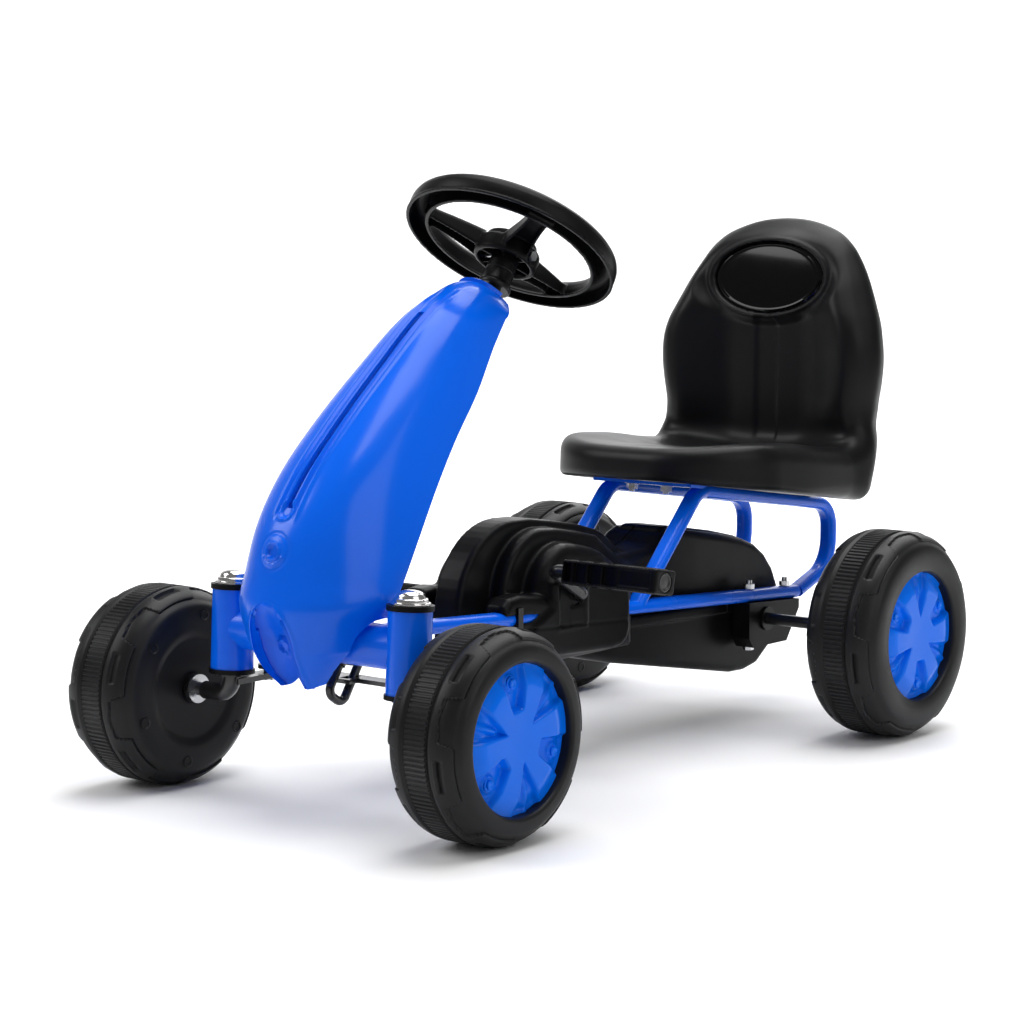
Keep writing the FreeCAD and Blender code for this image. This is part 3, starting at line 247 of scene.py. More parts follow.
M = {
    "frame_blue": material("frame_blue", (0.0002, 0.122, 0.82), 0.24, coat=0.08, coat_rough=0.10, spec=0.24, tint=0.04),
    "hood_blue": material("hood_blue", (0.0002, 0.122, 0.82), 0.20, coat=0.06, coat_rough=0.06, spec=0.24, tint=0.03, rvar=0.02),
    "cap_blue": material("cap_blue", (0.0002, 0.142, 0.80), 0.20, coat=0.0, coat_rough=0.10, spec=0.16, tint=0.04, rvar=0.04),
    "wheel_black": material("wheel_black", (0.0060, 0.0060, 0.0066), 0.44, spec=0.24, tint=0.12, rvar=0.06, grain=0.22, grain_size=700.0),
    "case_black": material("case_black", (0.0038, 0.0038, 0.0044), 0.36, spec=0.11, tint=0.12, rvar=0.06, grain=0.25, grain_size=800.0),
    "seat_black": material("seat_black", (0.0034, 0.0034, 0.0042), 0.40, spec=0.18, tint=0.12, rvar=0.04, grain=0.16, grain_size=1100.0),
    "gloss_black": material("gloss_black", (0.0012, 0.0012, 0.0016), 0.10, coat=0.08, coat_rough=0.03, spec=0.20, tint=0.1, rvar=0.02),
    "end_cap_black": material("end_cap_black", (0.0060, 0.0060, 0.0066), 0.30, tint=0.1, rvar=0.05, grain=0.5, grain_size=1500.0),
    "zinc_steel": material("zinc_steel", (0.62, 0.63, 0.64), 0.30, metal=1.0, tint=0.10, rvar=0.08, grain=0.15, grain_size=1200.0),
    "chrome_steel": material("chrome_steel", (0.74, 0.73, 0.72), 0.14, metal=1.0, tint=0.05, rvar=0.04),
    "black_steel": material("black_steel", (0.010, 0.010, 0.011), 0.30, coat=0.3, coat_rough=0.1, tint=0.1, rvar=0.05, grain=0.12, grain_size=400.0),
    "chain_steel": material("chain_steel", (0.26, 0.25, 0.23), 0.38, metal=1.0, tint=0.2, rvar=0.1, grain=0.2, grain_size=800.0),
    "nylon_black": material("nylon_black", (0.0045, 0.0045, 0.0052), 0.38, spec=0.22, tint=0.1, rvar=0.05, grain=0.15, grain_size=900.0),
    "column_steel": material("column_steel", (0.42, 0.42, 0.41), 0.34, metal=1.0, tint=0.15, rvar=0.08, grain=0.2, grain_size=500.0),
}
MAT_OF = dict(M)
MAT_OF["screw_blue"] = M["cap_blue"]
for sp in frame["record"]["subparts"]:
    o = NODES[sp["node"]]
    o.data.materials.clear()
    o.data.materials.append(MAT_OF[sp["material_slot"]])
for n in ("front_left_hub_cap", "front_right_hub_cap", "rear_left_hub_cap", "rear_right_hub_cap"):
    NODES[n].data.materials.clear()
    NODES[n].data.materials.append(M["cap_blue"])


# ------------------------------------------------------------------- wheels
def wheel(name, body, sx, cy, cz, R, x0, x1, ribs, phase, replaces):
    W = x1 - x0
    # profile across the wheel, from the outer bush seat over the tread to the inner one: (x from inner face, r)
    side_o = [(W - 22, 13.0), (W - 22, 20), (W - 22, 29), (W - 21.4, 30.6), (W - 13.4, 35.4), (W - 12.5, 36.6), (W - 12.5, 48), (W - 12.5, 61.0),
              (W - 12.2, 62.6), (W - 9, 62.85), (W - 4.2, 62.95), (W - 2.6, 63.2), (W - 1.2, 63.9), (W - 0.4, 64.9)]
    arc_o = []
    for t in np.linspace(0, 1, 46)[0:]:
        # rounded side and shoulder: quarter of a superellipse from the side face to the tread edge
        a = t * math.pi / 2
        e = 2.0 / 2.55
        arc_o.append((W - 28.5 + 28.5 * max(math.cos(a), 0) ** e, (R - 24.5) + 24.5 * math.sin(a) ** e))
    arc_i = []
    for t in np.linspace(0, 1, 46):
        a = (1 - t) * math.pi / 2
        e = 2.0 / 2.4
        arc_i.append((28.5 - 28.5 * max(math.cos(a), 0) ** e, (R - 30.0) + 30.0 * math.sin(a) ** e))
    band = [(W - 29.3, R), (W - 30.0, R), (W - 30.3, R), (W - 34, R), (W / 2, R), (34, R), (30.3, R), (30.0, R), (29.3, R)]
    side_i = [(0.0, R - 34), (0.0, 53.5), (0.25, 52.0), (1.1, 49.5), (2.2, 47.2), (2.9, 45.4), (3.0, 44.0), (3.0, 30), (3.0, 13.0)]
    prof = np.array(side_o + arc_o + band + arc_i + side_i, float)
    n_o, n_a, n_b = len(side_o), len(arc_o), len(band)
    nt = ribs * 4
    th = 2 * np.pi * np.arange(nt) / nt
    X = np.repeat(prof[:, 0][:, None], nt, 1)
    Rr = np.repeat(prof[:, 1][:, None], nt, 1)
    d = np.gradient(prof, axis=0)
    nrm = np.stack([d[:, 1], -d[:, 0]], 1)
    nrm /= np.linalg.norm(nrm, axis=1)[:, None] + 1e-9
    # outwards: away from the wheel's middle
    mid = np.array([W / 2, R * 0.5])
    sgn = np.sign(((prof - mid) * nrm).sum(1))
    nrm *= np.where(sgn == 0, 1, sgn)[:, None]
    D = np.zeros_like(X)
    tooth = np.array([0.0, 1.0, 1.0, 0.0])[np.arange(nt) % 4]
    for k in range(n_b):
        w = {0: 0, 1: 0, 8: 0, 7: 0}.get(k, 1.0)
        base = -0.9 if k in (1, 7) else 0.0
        if k in (0, 8):
            base = -0.1
        D[n_o + n_a + k] = base + (w * (tooth * 1.1 - 1.1))
    # shoulder relief: six raised plates on each side, each with a slot let into it
    for side, start, cnt in ((1, n_o, n_a), (-1, n_o + n_a + n_b, len(arc_i))):
        u = (W - prof[start:start + cnt, 0]) if side > 0 else prof[start:start + cnt, 0]
        r = prof[start:start + cnt, 1]
        # s: millimetres along the profile from the tread's edge towards the side
        pts = prof[start:start + cnt]
        seg = np.concatenate([[0], np.cumsum(np.linalg.norm(np.diff(pts, axis=0), axis=1))])
        s = (seg[-1] - seg) if side > 0 else seg
        S = s[:, None]
        off = phase + (0 if side > 0 else math.radians(30))
        A = (th[None, :] - off + np.pi / 6) % (np.pi / 3) - np.pi / 6      # -30..30 degrees inside a plate's pitch
        Ad = np.abs(np.degrees(A))
        edge = 25.0 - 14.5 * smooth(15.0, 19.0, Ad)                        # how far down the plates reach
        edge = edge - 0.25 * np.clip(Ad - 22.0, 0, 8)
        step = smooth(-0.45, 0.45, (edge - S))                             # inside the plate
        ring = smooth(0.0, 1.0, S - 0.8)
        relief = 1.5 * step * ring
        # fade the plates into the tread's edge
        relief = relief - 0.7 * bump(S - 1.6, 1.0)
        # groove line along the plates' border
        relief -= 0.55 * bump(S - edge - 0.8, 0.9)
        # slot
        sl = np.minimum(smooth(0, 1.3, S - 8.0), smooth(0, 4.0, 16.8 - S)) * smooth(0, 1.6, 9.5 - Ad)
        relief -= 3.0 * sl * (0.35 + 0.65 * smooth(0, 7.0, 15.5 - S))
        lip = bump(S - 7.0, 1.0) * smooth(0, 1.6, 10.5 - Ad)
        relief += 0.35 * lip
        D[start:start + cnt] += relief * (0.25 + 0.75 * smooth(0.0, 3.0, S - 0.3)) - 1.5
        fade = smooth(26.0, 34.0, S)
        D[start:start + cnt] += 1.5 * fade
    D[:n_o] += 0.0
    # blend the last points into the flat side so nothing steps
    X = X + D * nrm[:, 0][:, None]
    Rr = Rr + D * nrm[:, 1][:, None]
    # radius and depth for mould vents on the inner side; no vents are cut here
    hr, hd = 4.0, 3.5
    lim = x0 + W
    V = np.stack([sx * (x0 + X), cy + Rr * np.cos(th)[None, :], cz + Rr * np.sin(th)[None, :]], -1)
    m, n = X.shape
    verts = V.reshape(-1, 3)
    faces = [tuple(f) for f in grid_faces(m, n, False, True)]
    # close through the bore
    faces += [((m - 1) * n + j, (m - 1) * n + (j + 1) % n, (j + 1) % n, j) for j in range(n)]
    ob = new_mesh(name, verts, faces, M["wheel_black"], body, replaces, 38.0)
    return ob


def holes(name, body, sx, cy, cz, x, r, n, ph, rad):
    """blind screw holes with a soft lip, let into the wheel's inner side"""
    vs, fs = [], []
    nn = 20
    prof = [(0.05, rad + 1.6), (-0.28, rad + 0.9), (-0.30, rad + 0.3), (0.0, rad), (0.6, rad - 0.35), (0.62, 0.01)]
    for k in range(n):
        a = ph + 2 * math.pi * k / n
        c = np.array([cy + r * math.cos(a), cz + r * math.sin(a)])
        b = len(vs)
        for dx, rr in prof:
            for j in range(nn):
                t = 2 * math.pi * j / nn
                vs.append((sx * (x + dx), c[0] + rr * math.cos(t), c[1] + rr * math.sin(t)))
        for i in range(len(prof) - 1):
            for j in range(nn):
                fs.append((b + i * nn + j, b + i * nn + (j + 1) % nn, b + (i + 1) * nn + (j + 1) % nn, b + (i + 1) * nn + j))
    return vs, fs


def hub_cap(name, body, sx, cy, cz, x1, ph, replaces, screw_name, screw_nodes, Rc=62.6):
    """disc with a six-armed star: three screw pockets and three plain wedges between the arms"""
    nr, nt = 74, 288
    r = Rc * np.sqrt(np.linspace(0.0, 1, nr)) * 0.4 + Rc * np.linspace(0.0, 1, nr) * 0.6
    r[0] = 0.5
    th = 2 * np.pi * np.arange(nt) / nt
    RR, TT = np.meshgrid(r, th, indexing="ij")
    h = 2.6 + 1.3 * smooth(0, 40, RR) - 4.9 * smooth(43, 62.6, RR) ** 1.2
    for k in range(6):
        a = math.radians(60 * k + ph)
        dA = (TT - a + np.pi) % (2 * np.pi) - np.pi
        u, v = RR * np.cos(dA), RR * np.sin(dA)
        if k % 2:      # screw pocket: open trapezium
            half = 7.0 + 0.30 * (u - 24)
            m = smooth(0, 4.6, u - 23.5) * smooth(0, 4.0, half + 0.6 - np.abs(v))
            deep = 7.6 - 2.2 * smooth(28, 60, u)
            pocket = m * deep * smooth(0, 0.01, u)
            h = h - pocket * (1 - 0.35 * smooth(57, 62.6, RR))
            ring = np.hypot(u - 48, v)
            h = h + (1.5 * smooth(0, 1.2, 8.2 - ring) - 0.9 * smooth(0, 0.8, 6.0 - ring)) * (u > 20)
        else:          # plain wedge, apex to the middle
            half = 0.43 * (u - 16)
            m = smooth(0, 4.4, half - np.abs(v)) * smooth(0, 4.0, u - 17.0)
            deep = 7.2 - 2.2 * smooth(24, 60, u)
            crease = 3.0 * bump(v, 4.5) * smooth(22, 34, u)
            h = h - m * (deep - crease) * (1 - 0.30 * smooth(57, 62.6, RR))
    e = x1 - 6.0
    front = np.stack([sx * (e + h), cy + RR * np.cos(TT), cz + RR * np.sin(TT)], -1).reshape(-1, 3)
    back_r = [Rc, Rc - 0.3, Rc - 2.4, Rc - 3.4, 40.0, 14.0, 0.5]
    back_h = [-4.6, -5.3, -5.3, -6.0, -6.0, -4.7, -4.6]
    bk = np.array([[(sx * (e + bh), cy + br * math.cos(t), cz + br * math.sin(t)) for t in th] for br, bh in zip(back_r, back_h)]).reshape(-1, 3)
    verts = np.vstack([front, bk, [[sx * (e + 2.6), cy, cz]], [[sx * (e - 4.6), cy, cz]]])
    f = [tuple(q) for q in grid_faces(nr + len(back_r), nt, False, True)]
    c1, c2 = len(verts) - 2, len(verts) - 1
    last = (nr + len(back_r) - 1) * nt
    f += [(c1, j, (j + 1) % nt) for j in range(nt)]
    f += [(c2, last + (j + 1) % nt, last + j) for j in range(nt)]
    ob = new_mesh(name, verts, f, M["cap_blue"], body, replaces, 50.0)
    # washer-headed screws
    vs, fs = [], []
    prof = [(-4.0, 1.9), (-1.6, 1.9), (-1.6, 5.6), (-0.9, 5.9), (-0.4, 5.2), (-0.35, 4.3), (1.2, 4.1), (1.75, 3.5), (1.9, 2.6), (1.5, 2.0), (1.45, 0.3)]
    nn = 30
    for k in (1, 3, 5):
        a = math.radians(60 * k + ph)
        c = (cy + 48 * math.cos(a), cz + 48 * math.sin(a))
        b = len(vs)
        for dx, rr in prof:
            for j in range(nn):
                t = 2 * math.pi * j / nn
                vs.append((sx * (e - 0.5 + dx), c[0] + rr * math.cos(t), c[1] + rr * math.sin(t)))
        for i in range(len(prof) - 1):
            for j in range(nn):
                fs.append((b + i * nn + j, b + i * nn + (j + 1) % nn, b + (i + 1) * nn + (j + 1) % nn, b + (i + 1) * nn + j))
        fs.append(tuple(b + j for j in range(nn))[::-1])
        fs.append(tuple(b + (len(prof) - 1) * nn + j for j in range(nn)))
    return ob, vs, fs


CAP_PH = {"front_left": 40.0, "front_right": 40.0, "rear_left": 91.0, "rear_right": 91.0}
rear_v, rear_f = [], []
for nm, sx, cy, cz, R, x0, x1, ribs, body, ph in (
        ("front_left", 1, 0, 90.0, 90.0, 148.0, 230.0, 132, "front_left_wheel", 12.0),
        ("front_right", -1, 0, 90.0, 90.0, 148.0, 230.0, 132, "front_right_wheel", 12.0),
        ("rear_left", 1, 602.5, 101.6, 101.6, 165.0, 247.0, 140, "rear_axle", 12.0),
        ("rear_right", -1, 602.5, 101.6, 101.6, 165.0, 247.0, 140, "rear_axle", 12.0)):
    wheel(nm + "_wheel_shell", body, sx, cy, cz, R, x0, x1, ribs, math.radians(ph), [nm + "_wheel"])
    hv, hf = holes(nm, body, sx, cy, cz, x0 - 0.2, R * 0.735, 6, math.radians(ph + 8), 4.0)
    new_mesh(nm + "_wheel_screw_holes", hv, hf, M["nylon_black"], body, (), 40.0)
    cap, vs, fs = hub_cap(nm + "_hub_cap_star", body, sx, cy, cz, x1, CAP_PH[nm], [nm + "_hub_cap"], None, None)
    if nm.startswith("front"):
        new_mesh(nm + "_cap_screw_heads", vs, fs, M["cap_blue"], body, [nm + "_cap_screws"], 40.0)
    else:
        b = len(rear_v)
        rear_v += vs
        rear_f += [tuple(i + b for i in f) for f in fs]
new_mesh("rear_cap_screw_heads", rear_v, rear_f, M["cap_blue"], "rear_axle", ["rear_cap_screws"], 40.0)
# --------------------------------------------------------------------- seat
BACK_W = [(205, 126.0), (262, 128.0), (285, 128.7), (296, 127.4), (317, 128.4), (338, 131.8), (360, 133.8), (381, 132.7), (402, 128.2), (422, 119.8), (435, 113.8), (443, 110.0),
          (452, 105.2), (460, 100.4), (469, 94.5), (477, 88.6), (485, 80.8), (494, 69.0), (502, 51.5), (508.0, 33.0), (511.6, 14.0), (512.4, 2.0)]
BACK_Y = [(205, 692), (300, 692), (365, 692.5), (405, 692.8), (445, 695.2), (477, 702), (494, 709), (504, 717), (512, 724)]
BACK_E = [(205, 694), (285, 696), (317, 702), (381, 701.5), (402, 705), (422, 711), (443, 717), (460, 722), (485, 727), (502, 733), (512, 735)]
BACK_B = [(205, 14), (285, 17), (305, 21), (330, 24), (370, 24.5), (405, 22), (430, 16), (452, 9), (480, 4), (505, 1)]
LEAN = math.radians(8.8)


def table(rows, t, col=1):
    """smooth curve through the rows, flat beyond the ends"""
    a = np.array(rows, float)
    X_, Y_ = a[:, 0], a[:, col]
    d = np.diff(Y_) / np.diff(X_)
    m = np.concatenate([[0], np.where(d[1:] * d[:-1] > 0, 2 * d[1:] * d[:-1] / (d[1:] + d[:-1] + 1e-12), 0), [0]])
    t = np.clip(t, X_[0], X_[-1])
    i = np.clip(np.searchsorted(X_, t, side="right") - 1, 0, len(X_) - 2)
    h = X_[i + 1] - X_[i]
    u = (t - X_[i]) / h
    return ((1 + 2 * u) * (1 - u) ** 2 * Y_[i] + u * (1 - u) ** 2 * h * m[i] + u * u * (3 - 2 * u) * Y_[i + 1] + u * u * (u - 1) * h * m[i + 1])


def smooth_outline(rows, n):
    S_, _ = interp_rows([(z_, w_) for z_, w_ in rows], n)
    return [(w_, z_) for z_, w_ in S_]


def seat_plane(y):
    return 247.4 + (y - 485.5) * (226.4 - 247.4) / (637.2 - 485.5)


def seat_field(x, y, z):
    ax_ = np.abs(x)
    # pan
    crest = table([(430, 286.5), (450, 288), (500, 289.5), (560, 286.5), (620, 279), (660, 276), (720, 276)], y)
    dip = table([(430, 1.5), (450, 3.0), (500, 6.5), (560, 10.0), (620, 11.0), (680, 9.0)], y)
    top = crest - dip * (1 - smooth(12, 112, ax_)) - 2.0 * bump(ax_ - 54, 42) * smooth(470, 520, y) * smooth(665, 620, y)
    top = top - 2.2 * smooth(116, 131, ax_)
    hw = table([(430, 119), (470, 122), (530, 129), (590, 131.5), (650, 130), (720, 127)], y)
    R_ = 90.0
    qx, qy = ax_ - (hw - R_), np.abs(y - 600.0) - (161.8 - R_)
    plan = np.sqrt(np.maximum(qx, 0) ** 2 + np.maximum(qy, 0) ** 2) + np.minimum(np.maximum(qx, qy), 0) - R_
    low = (seat_plane(y) + 5.0 * smooth(640, 700, y) - z) * 0.99
    pan = smax(smax(z - top, plan + 0.03 * (z - 262), 17.0), low, 7.0 + 9.0 * smooth(560, 660, y))
    pan = smax(pan, y - 716.0, 30.0)
    # back
    w = table(BACK_W, z)
    f = ax_ / w
    yf = table(BACK_Y, z) - table(BACK_B, z) * smooth(0.30, 0.84, f)
    tl = (z - 447.0) / math.cos(LEAN)
    plate = 694.6 + math.tan(LEAN) * (z - 447.0)
    ro = np.sqrt((x / 67.0) ** 2 + (tl / 37.5) ** 2)
    sd_ = smooth(1.42, 1.10, ro)
    yf = yf * (1 - sd_) + (plate - 0.6) * sd_
    yf = yf - 2.3 * bump(ro - 1.085, 0.085) + 6.0 * smooth(1.012, 0.985, ro)
    # arched channel up the middle
    ch = smooth(16.5, 12.0 - 3.5 * smooth(4, -8, x), np.sqrt(x ** 2 + np.maximum(z - 396, 0) ** 2)) * smooth(268, 284, z)
    yf = yf + 1.7 * ch
    yr = table([(205, 712), (240, 722), (300, 729), (400, 731), (447, 735), (480, 738.5), (512, 740)], z)
    R = smooth_outline(BACK_W, 90)
    out = sd_poly(x + 0 * z, z + 0 * x, R + [(-a_, b_) for a_, b_ in R[::-1]])
    ye = table(BACK_E, z)
    t_ = ye - 3.0 - y
    out = (out - 1.6 + 0.62 * (t_ + np.sqrt(t_ ** 2 + 60.0)) / 2 + 0.42 * (np.sqrt(t_ ** 2 + 60.0) - t_) / 2 - 2.0) * 0.86
    back = smax(smax(yf - y, y - yr, 16.0), out, 15.0)
    back = smax(back, (seat_plane(y) + 7.0 + 1.1 * np.maximum(y - 684, 0) - z) * 0.8, 26.0)
    return smin(pan, back, 24.0)


def seat():
    solid("seat_shell", seat_field, (-138, 434, 210), (138, 744, 514), 1.7, M["seat_black"], "frame", ["seat"], 70.0)


seat()


def oval():
    nr, nt = 30, 180
    V = []
    th = 2 * np.pi * np.arange(nt) / nt
    ct_, st_ = math.cos(LEAN), math.sin(LEAN)
    rows = [(k, -1.7 * (1 - k * k) + 0.7 * float(smooth(0.955, 1.0, k)) - 0.55 * float(bump(k - 0.93, 0.035))) for k in np.linspace(0.02, 1.0, nr)]
    rows += [(1.0, 2.0), (0.98, 3.4), (0.02, 3.4)]
    for k, d in rows:
        for t in th:
            x, v = 66.4 * k * math.cos(t), 36.9 * k * math.sin(t)
            V.append((x, 695.4 + d * ct_ + v * st_, 447.0 + v * ct_ - d * st_))
    F = [tuple(f) for f in grid_faces(len(rows), nt, False, True)]
    F.append(tuple(range(nt))[::-1])
    F.append(tuple((len(rows) - 1) * nt + j for j in range(nt)))
    new_mesh("seat_back_oval_gloss", V, F, M["gloss_black"], "frame", ["seat_back_oval"], 40.0)


oval()

# --------------------------------------------------------------------- hood
HOOD = [(-30.0, 106.0, -6.0, 104.0, 30.0, 2.0), (-46.0, 122.0, 4.0, 120.0, 46.0, 2.0), (-55.0, 140.0, 8.0, 138.0, 57.0, 2.0),
        (-59.5, 158.0, 11.0, 156.0, 66.0, 2.0), (-62.5, 182.0, 16.0, 182.0, 75.0, 2.0), (-57.5, 207.0, 30.0, 205.0, 75.5, 2.0),
        (-46.0, 245.0, 53.0, 240.0, 73.0, 2.1), (-17.0, 288.0, 82.0, 278.0, 67.0, 2.4),
        (26.0, 331.0, 115.0, 315.0, 59.5, 2.7), (81.0, 379.0, 155.0, 355.0, 51.5, 2.8),
        (140.0, 426.0, 191.0, 395.0, 41.5, 2.7), (181.0, 447.0, 217.0, 418.0, 33.5, 2.4)]
SLOT = ((-33.0, 266.7), (140.3, 425.1))


def hood():
    R = np.array(HOOD)
    m = 300
    S, dist = interp_rows(R, m)
    # crown rows close over towards the column
    top = [(187.5, 449.6, 221.2, 419.8, 32.4, 2.35), (193.0, 451.3, 225.6, 422.6, 30.4, 2.3), (199.0, 452.3, 229.6, 425.4, 27.4, 2.25),
           (204.0, 452.6, 232.8, 428.4, 24.2, 2.2), (207.6, 452.4, 235.6, 430.6, 21.4, 2.1)]
    T, _ = interp_rows([tuple(R[-1])] + top, 34)
    S = np.vstack([S, T[1:]])
    m = len(S)
    xc = np.array([0, 1.75, 3.5, 4.1, 4.8, 5.6, 6.5, 7.5, 8.6, 9.8, 11.0, 12.2, 13.5, 14.8, 16.1, 17.4, 18.7, 20.0, 21.2, 22.3, 23.4, 24.5, 25.6, 26.8, 28.2, 30.0])
    nj, nk = len(xc), 60
    cols = nj + nk
    H = np.zeros((m, cols, 3))
    Wr = np.zeros(m)

    def scoop_w(q):
        if q > 150:
            return 24.0 * math.sqrt(max(1 - ((q - 150) / 38.5) ** 2, 0.0))
        return float(np.interp(q, [100, 106, 116, 130, 150], [13.5, 15.5, 19.2, 22.4, 24.0]))
    for i, (yf, zf, yr, zr, a, e) in enumerate(S):
        F_, R_ = np.array([yf, zf]), np.array([yr, zr])
        dv = R_ - F_
        b = np.linalg.norm(dv)
        dv = dv / b
        # tilt angle limit where the arch over the beam cuts the sides
        thm = math.pi / 2
        g = np.linspace(0.0, math.pi / 2, 361)
        yy = yr - dv[0] * b * np.cos(g) ** (2 / e)
        zz = zr - dv[1] * b * np.cos(g) ** (2 / e)
        inside = ((yy - 6.0) ** 2 + (zz - 150.0) ** 2 < 24.0 ** 2) | ((yy > -18.0) & (zz < 150.0))
        if inside.any():
            thm = g[max(int(np.argmax(inside)) - 1, 5)]
        xs = np.where(xc <= 4.8, xc, 4.8 + (xc - 4.8) * min(1.0, (0.8 * a - 4.8) / 25.2))
        Wr[i] = scoop_w(zf)
        if zf < 240:
            jw, we = 15, max(Wr[i], 3.0)
            q = np.arange(nj)
            ins = we * (1 - (1 - np.minimum(q / jw, 1)) ** 1.3)
            aft = we + (min(36.0, 0.9 * a) - we) * (np.maximum(q - jw, 0) / (nj - 1 - jw)) ** 1.35
            own = np.where(q <= jw, ins, aft)
            f_ = float(smooth(190, 232, zf))
            xs = own * (1 - f_) + xs * f_
        t0 = np.arcsin(np.clip((xs / a) ** (e / 2), 0, 1))
        t1 = t0[-1] + (thm - t0[-1]) * np.linspace(0, 1, nk + 1)[1:] ** 0.9
        t = np.concatenate([t0, t1])
        px = a * np.sin(t) ** (2 / e)
        pd = b * np.maximum(np.cos(t), 0) ** (2 / e)
        H[i, :, 0] = px
        H[i, :, 1] = yr - dv[0] * pd
        H[i, :, 2] = zr - dv[1] * pd
    x, y, z = H[..., 0].copy(), H[..., 1].copy(), H[..., 2].copy()
    # lower lip: two rounded lobes with a notch between them
    zb = 109.2 + 17.0 * np.exp(-(x / 8.0) ** 2) + 0.27 * (np.sqrt((x - 15.0) ** 2 + 9.0) + x - 15.0)
    k = np.clip((146.0 - z) / (146.0 - 105.0), 0, 1)
    z = np.where(z < 146, 146 - k * (146 - zb), z)
    # one deep scoop under the nose, crisp at its rims
    D = table([(100, 12), (112, 15), (127, 20), (150, 22), (160, 19), (170, 14), (180, 7.5), (186, 3.2), (188.4, 0), (200, 0)], z)
    W = np.broadcast_to(Wr[:, None], z.shape)
    fx = np.clip(x / np.maximum(W, 1e-3), 0, 1)
    y = y + np.where(W > 0, D, 0) * (1 - fx ** 2.4) ** 0.55
    y = y - 1.2 * bump(x - W - 1.2, 2.4) * smooth(0, 4, D)
    # raised lips along the slot
    (ya, za), (yb, zb_) = SLOT
    L = math.hypot(yb - ya, zb_ - za)
    sl = ((y - ya) * (yb - ya) + (z - za) * (zb_ - za)) / L
    on = smooth(-6, 6, sl) * smooth(L + 26, L + 6, sl)
    on2 = smooth(-14, -2, sl) * smooth(L + 46, L + 22, sl)
    off = 1.1 * bump(x - 5.2, 1.7) * on - 1.3 * bump(x - 8.8, 2.4) * on2 + 1.3 * bump(x - 12.6, 3.0) * on2
    # rounded pan at the foot of the slot
    rr = np.hypot(x / 7.0, (sl + 3.0) / 8.0)
    off = off - 2.2 * smooth(1.0, 0.55, rr) + 0.9 * bump(rr - 1.15, 0.25)
    # round boss with a plain ring on it, and a crescent below
    re = np.hypot(x, (z - 230.7) * 1.03)
    off = off + 1.0 * smooth(14.2, 12.4, re) - 0.5 * bump(re - 15.4, 1.8)
    off = off + 1.5 * bump(re - 7.2, 1.9) - 1.9 * smooth(5.6, 4.8, re)
    off = off + 1.3 * bump(re - 11.2, 1.5) * smooth(-2.0, -6.0, z - 230.7)
    # screw boss in the scoop
    bo = np.hypot(x, z - 149.5)
    off = off + 4.5 * smooth(8.8, 7.2, bo) - 2.6 * smooth(5.4, 4.4, bo)
    # surface normals, turned to the outer side
    N = np.zeros_like(H)
    full = np.stack([x, y, z], -1)
    du = np.gradient(full, axis=0)
    dv_ = np.gradient(full, axis=1)
    nrm = np.cross(du, dv_)
    nrm /= np.linalg.norm(nrm, axis=-1, keepdims=True) + 1e-9
    ref = np.stack([x, y - 60.0, z * 0], -1)
    sg = np.where((nrm * np.stack([x, y - (y + 40), z * 0 + 0.01], -1)).sum(-1) >= 0, 1, -1)
    nrm = nrm * sg[..., None]
    # keep every normal on the outer side: forwards or sideways
    out = full + nrm * off[..., None]
    inn = full - nrm * 3.0
    inn[..., 0] = np.maximum(inn[..., 0], 0)
    inn[:, 0, 0] = 0
    out[:, 0, 0] = 0
    # the crown edge closes in to the column hole through the crown rows; the column's tilt computed here is not used
    ca, sa = math.cos(math.radians(33.3)), math.sin(math.radians(33.3))

    def both(G):
        Lh = G[:, ::-1].copy()
        Lh[..., 0] *= -1
        return np.concatenate([Lh[:, :-1], G], axis=1)
    O, I = both(out), both(inn)
    n = O.shape[1]
    mid_c = cols - 1
    Vv = np.concatenate([O.reshape(-1, 3), I.reshape(-1, 3)])
    base = m * n
    keep = np.ones((m - 1, n - 1), bool)
    slc = both(np.stack([x, sl, z], -1))[..., 1]
    inside_slot = np.zeros_like(keep)
    for i in range(m - 1):
        s0 = slc[i, mid_c]
        if 0 < s0 < L:
            inside_slot[i, mid_c - 2:mid_c + 2] = True
    keep &= ~inside_slot
    F = []
    for i in range(m - 1):
        for j in range(n - 1):
            if keep[i, j]:
                a_, b_, c_, d_ = i * n + j, (i + 1) * n + j, (i + 1) * n + j + 1, i * n + j + 1
                F.append((a_, b_, c_, d_))
                F.append((base + a_, base + d_, base + c_, base + b_))
    # walls wherever a kept cell meets an open one
    kp = np.pad(keep, 1)
    for i in range(m - 1):
        for j in range(n - 1):
            if not keep[i, j]:
                continue
            a_, b_, c_, d_ = i * n + j, (i + 1) * n + j, (i + 1) * n + j + 1, i * n + j + 1
            if not kp[i, j + 1]:
                F.append((a_, d_, base + d_, base + a_))
            if not kp[i + 2, j + 1]:
                F.append((c_, b_, base + b_, base + c_))
            if not kp[i + 1, j]:
                F.append((b_, a_, base + a_, base + b_))
            if not kp[i + 1, j + 2]:
                F.append((d_, c_, base + c_, base + d_))
    used = sorted({v for f in F for v in f})
    remap = {v: q for q, v in enumerate(used)}
    F = [tuple(remap[v] for v in f) for f in F]
    return new_mesh("hood_shell", Vv[used], F, M["hood_blue"], "frame", ["hood"], 38.0, merge=0.00001)


hood()
# --------------------------------------------------- casing round the crank
SPLIT = -7.0


def rail_zc(y):
    return 160.0 - 0.0575 * y


def arch(cy, cz, r, back, y0, z0, ry=None):
    ry = ry or r
    pts = [(y0, z0), (cy - ry, max(z0 + 8, cz - 40)), (cy - ry, cz)]
    for a in np.linspace(0.08, math.pi / 2, 14):
        pts.append((cy - ry * math.cos(a), cz + r * math.sin(a)))
    pts += back
    return pts + [(back[-1][0], z0)]


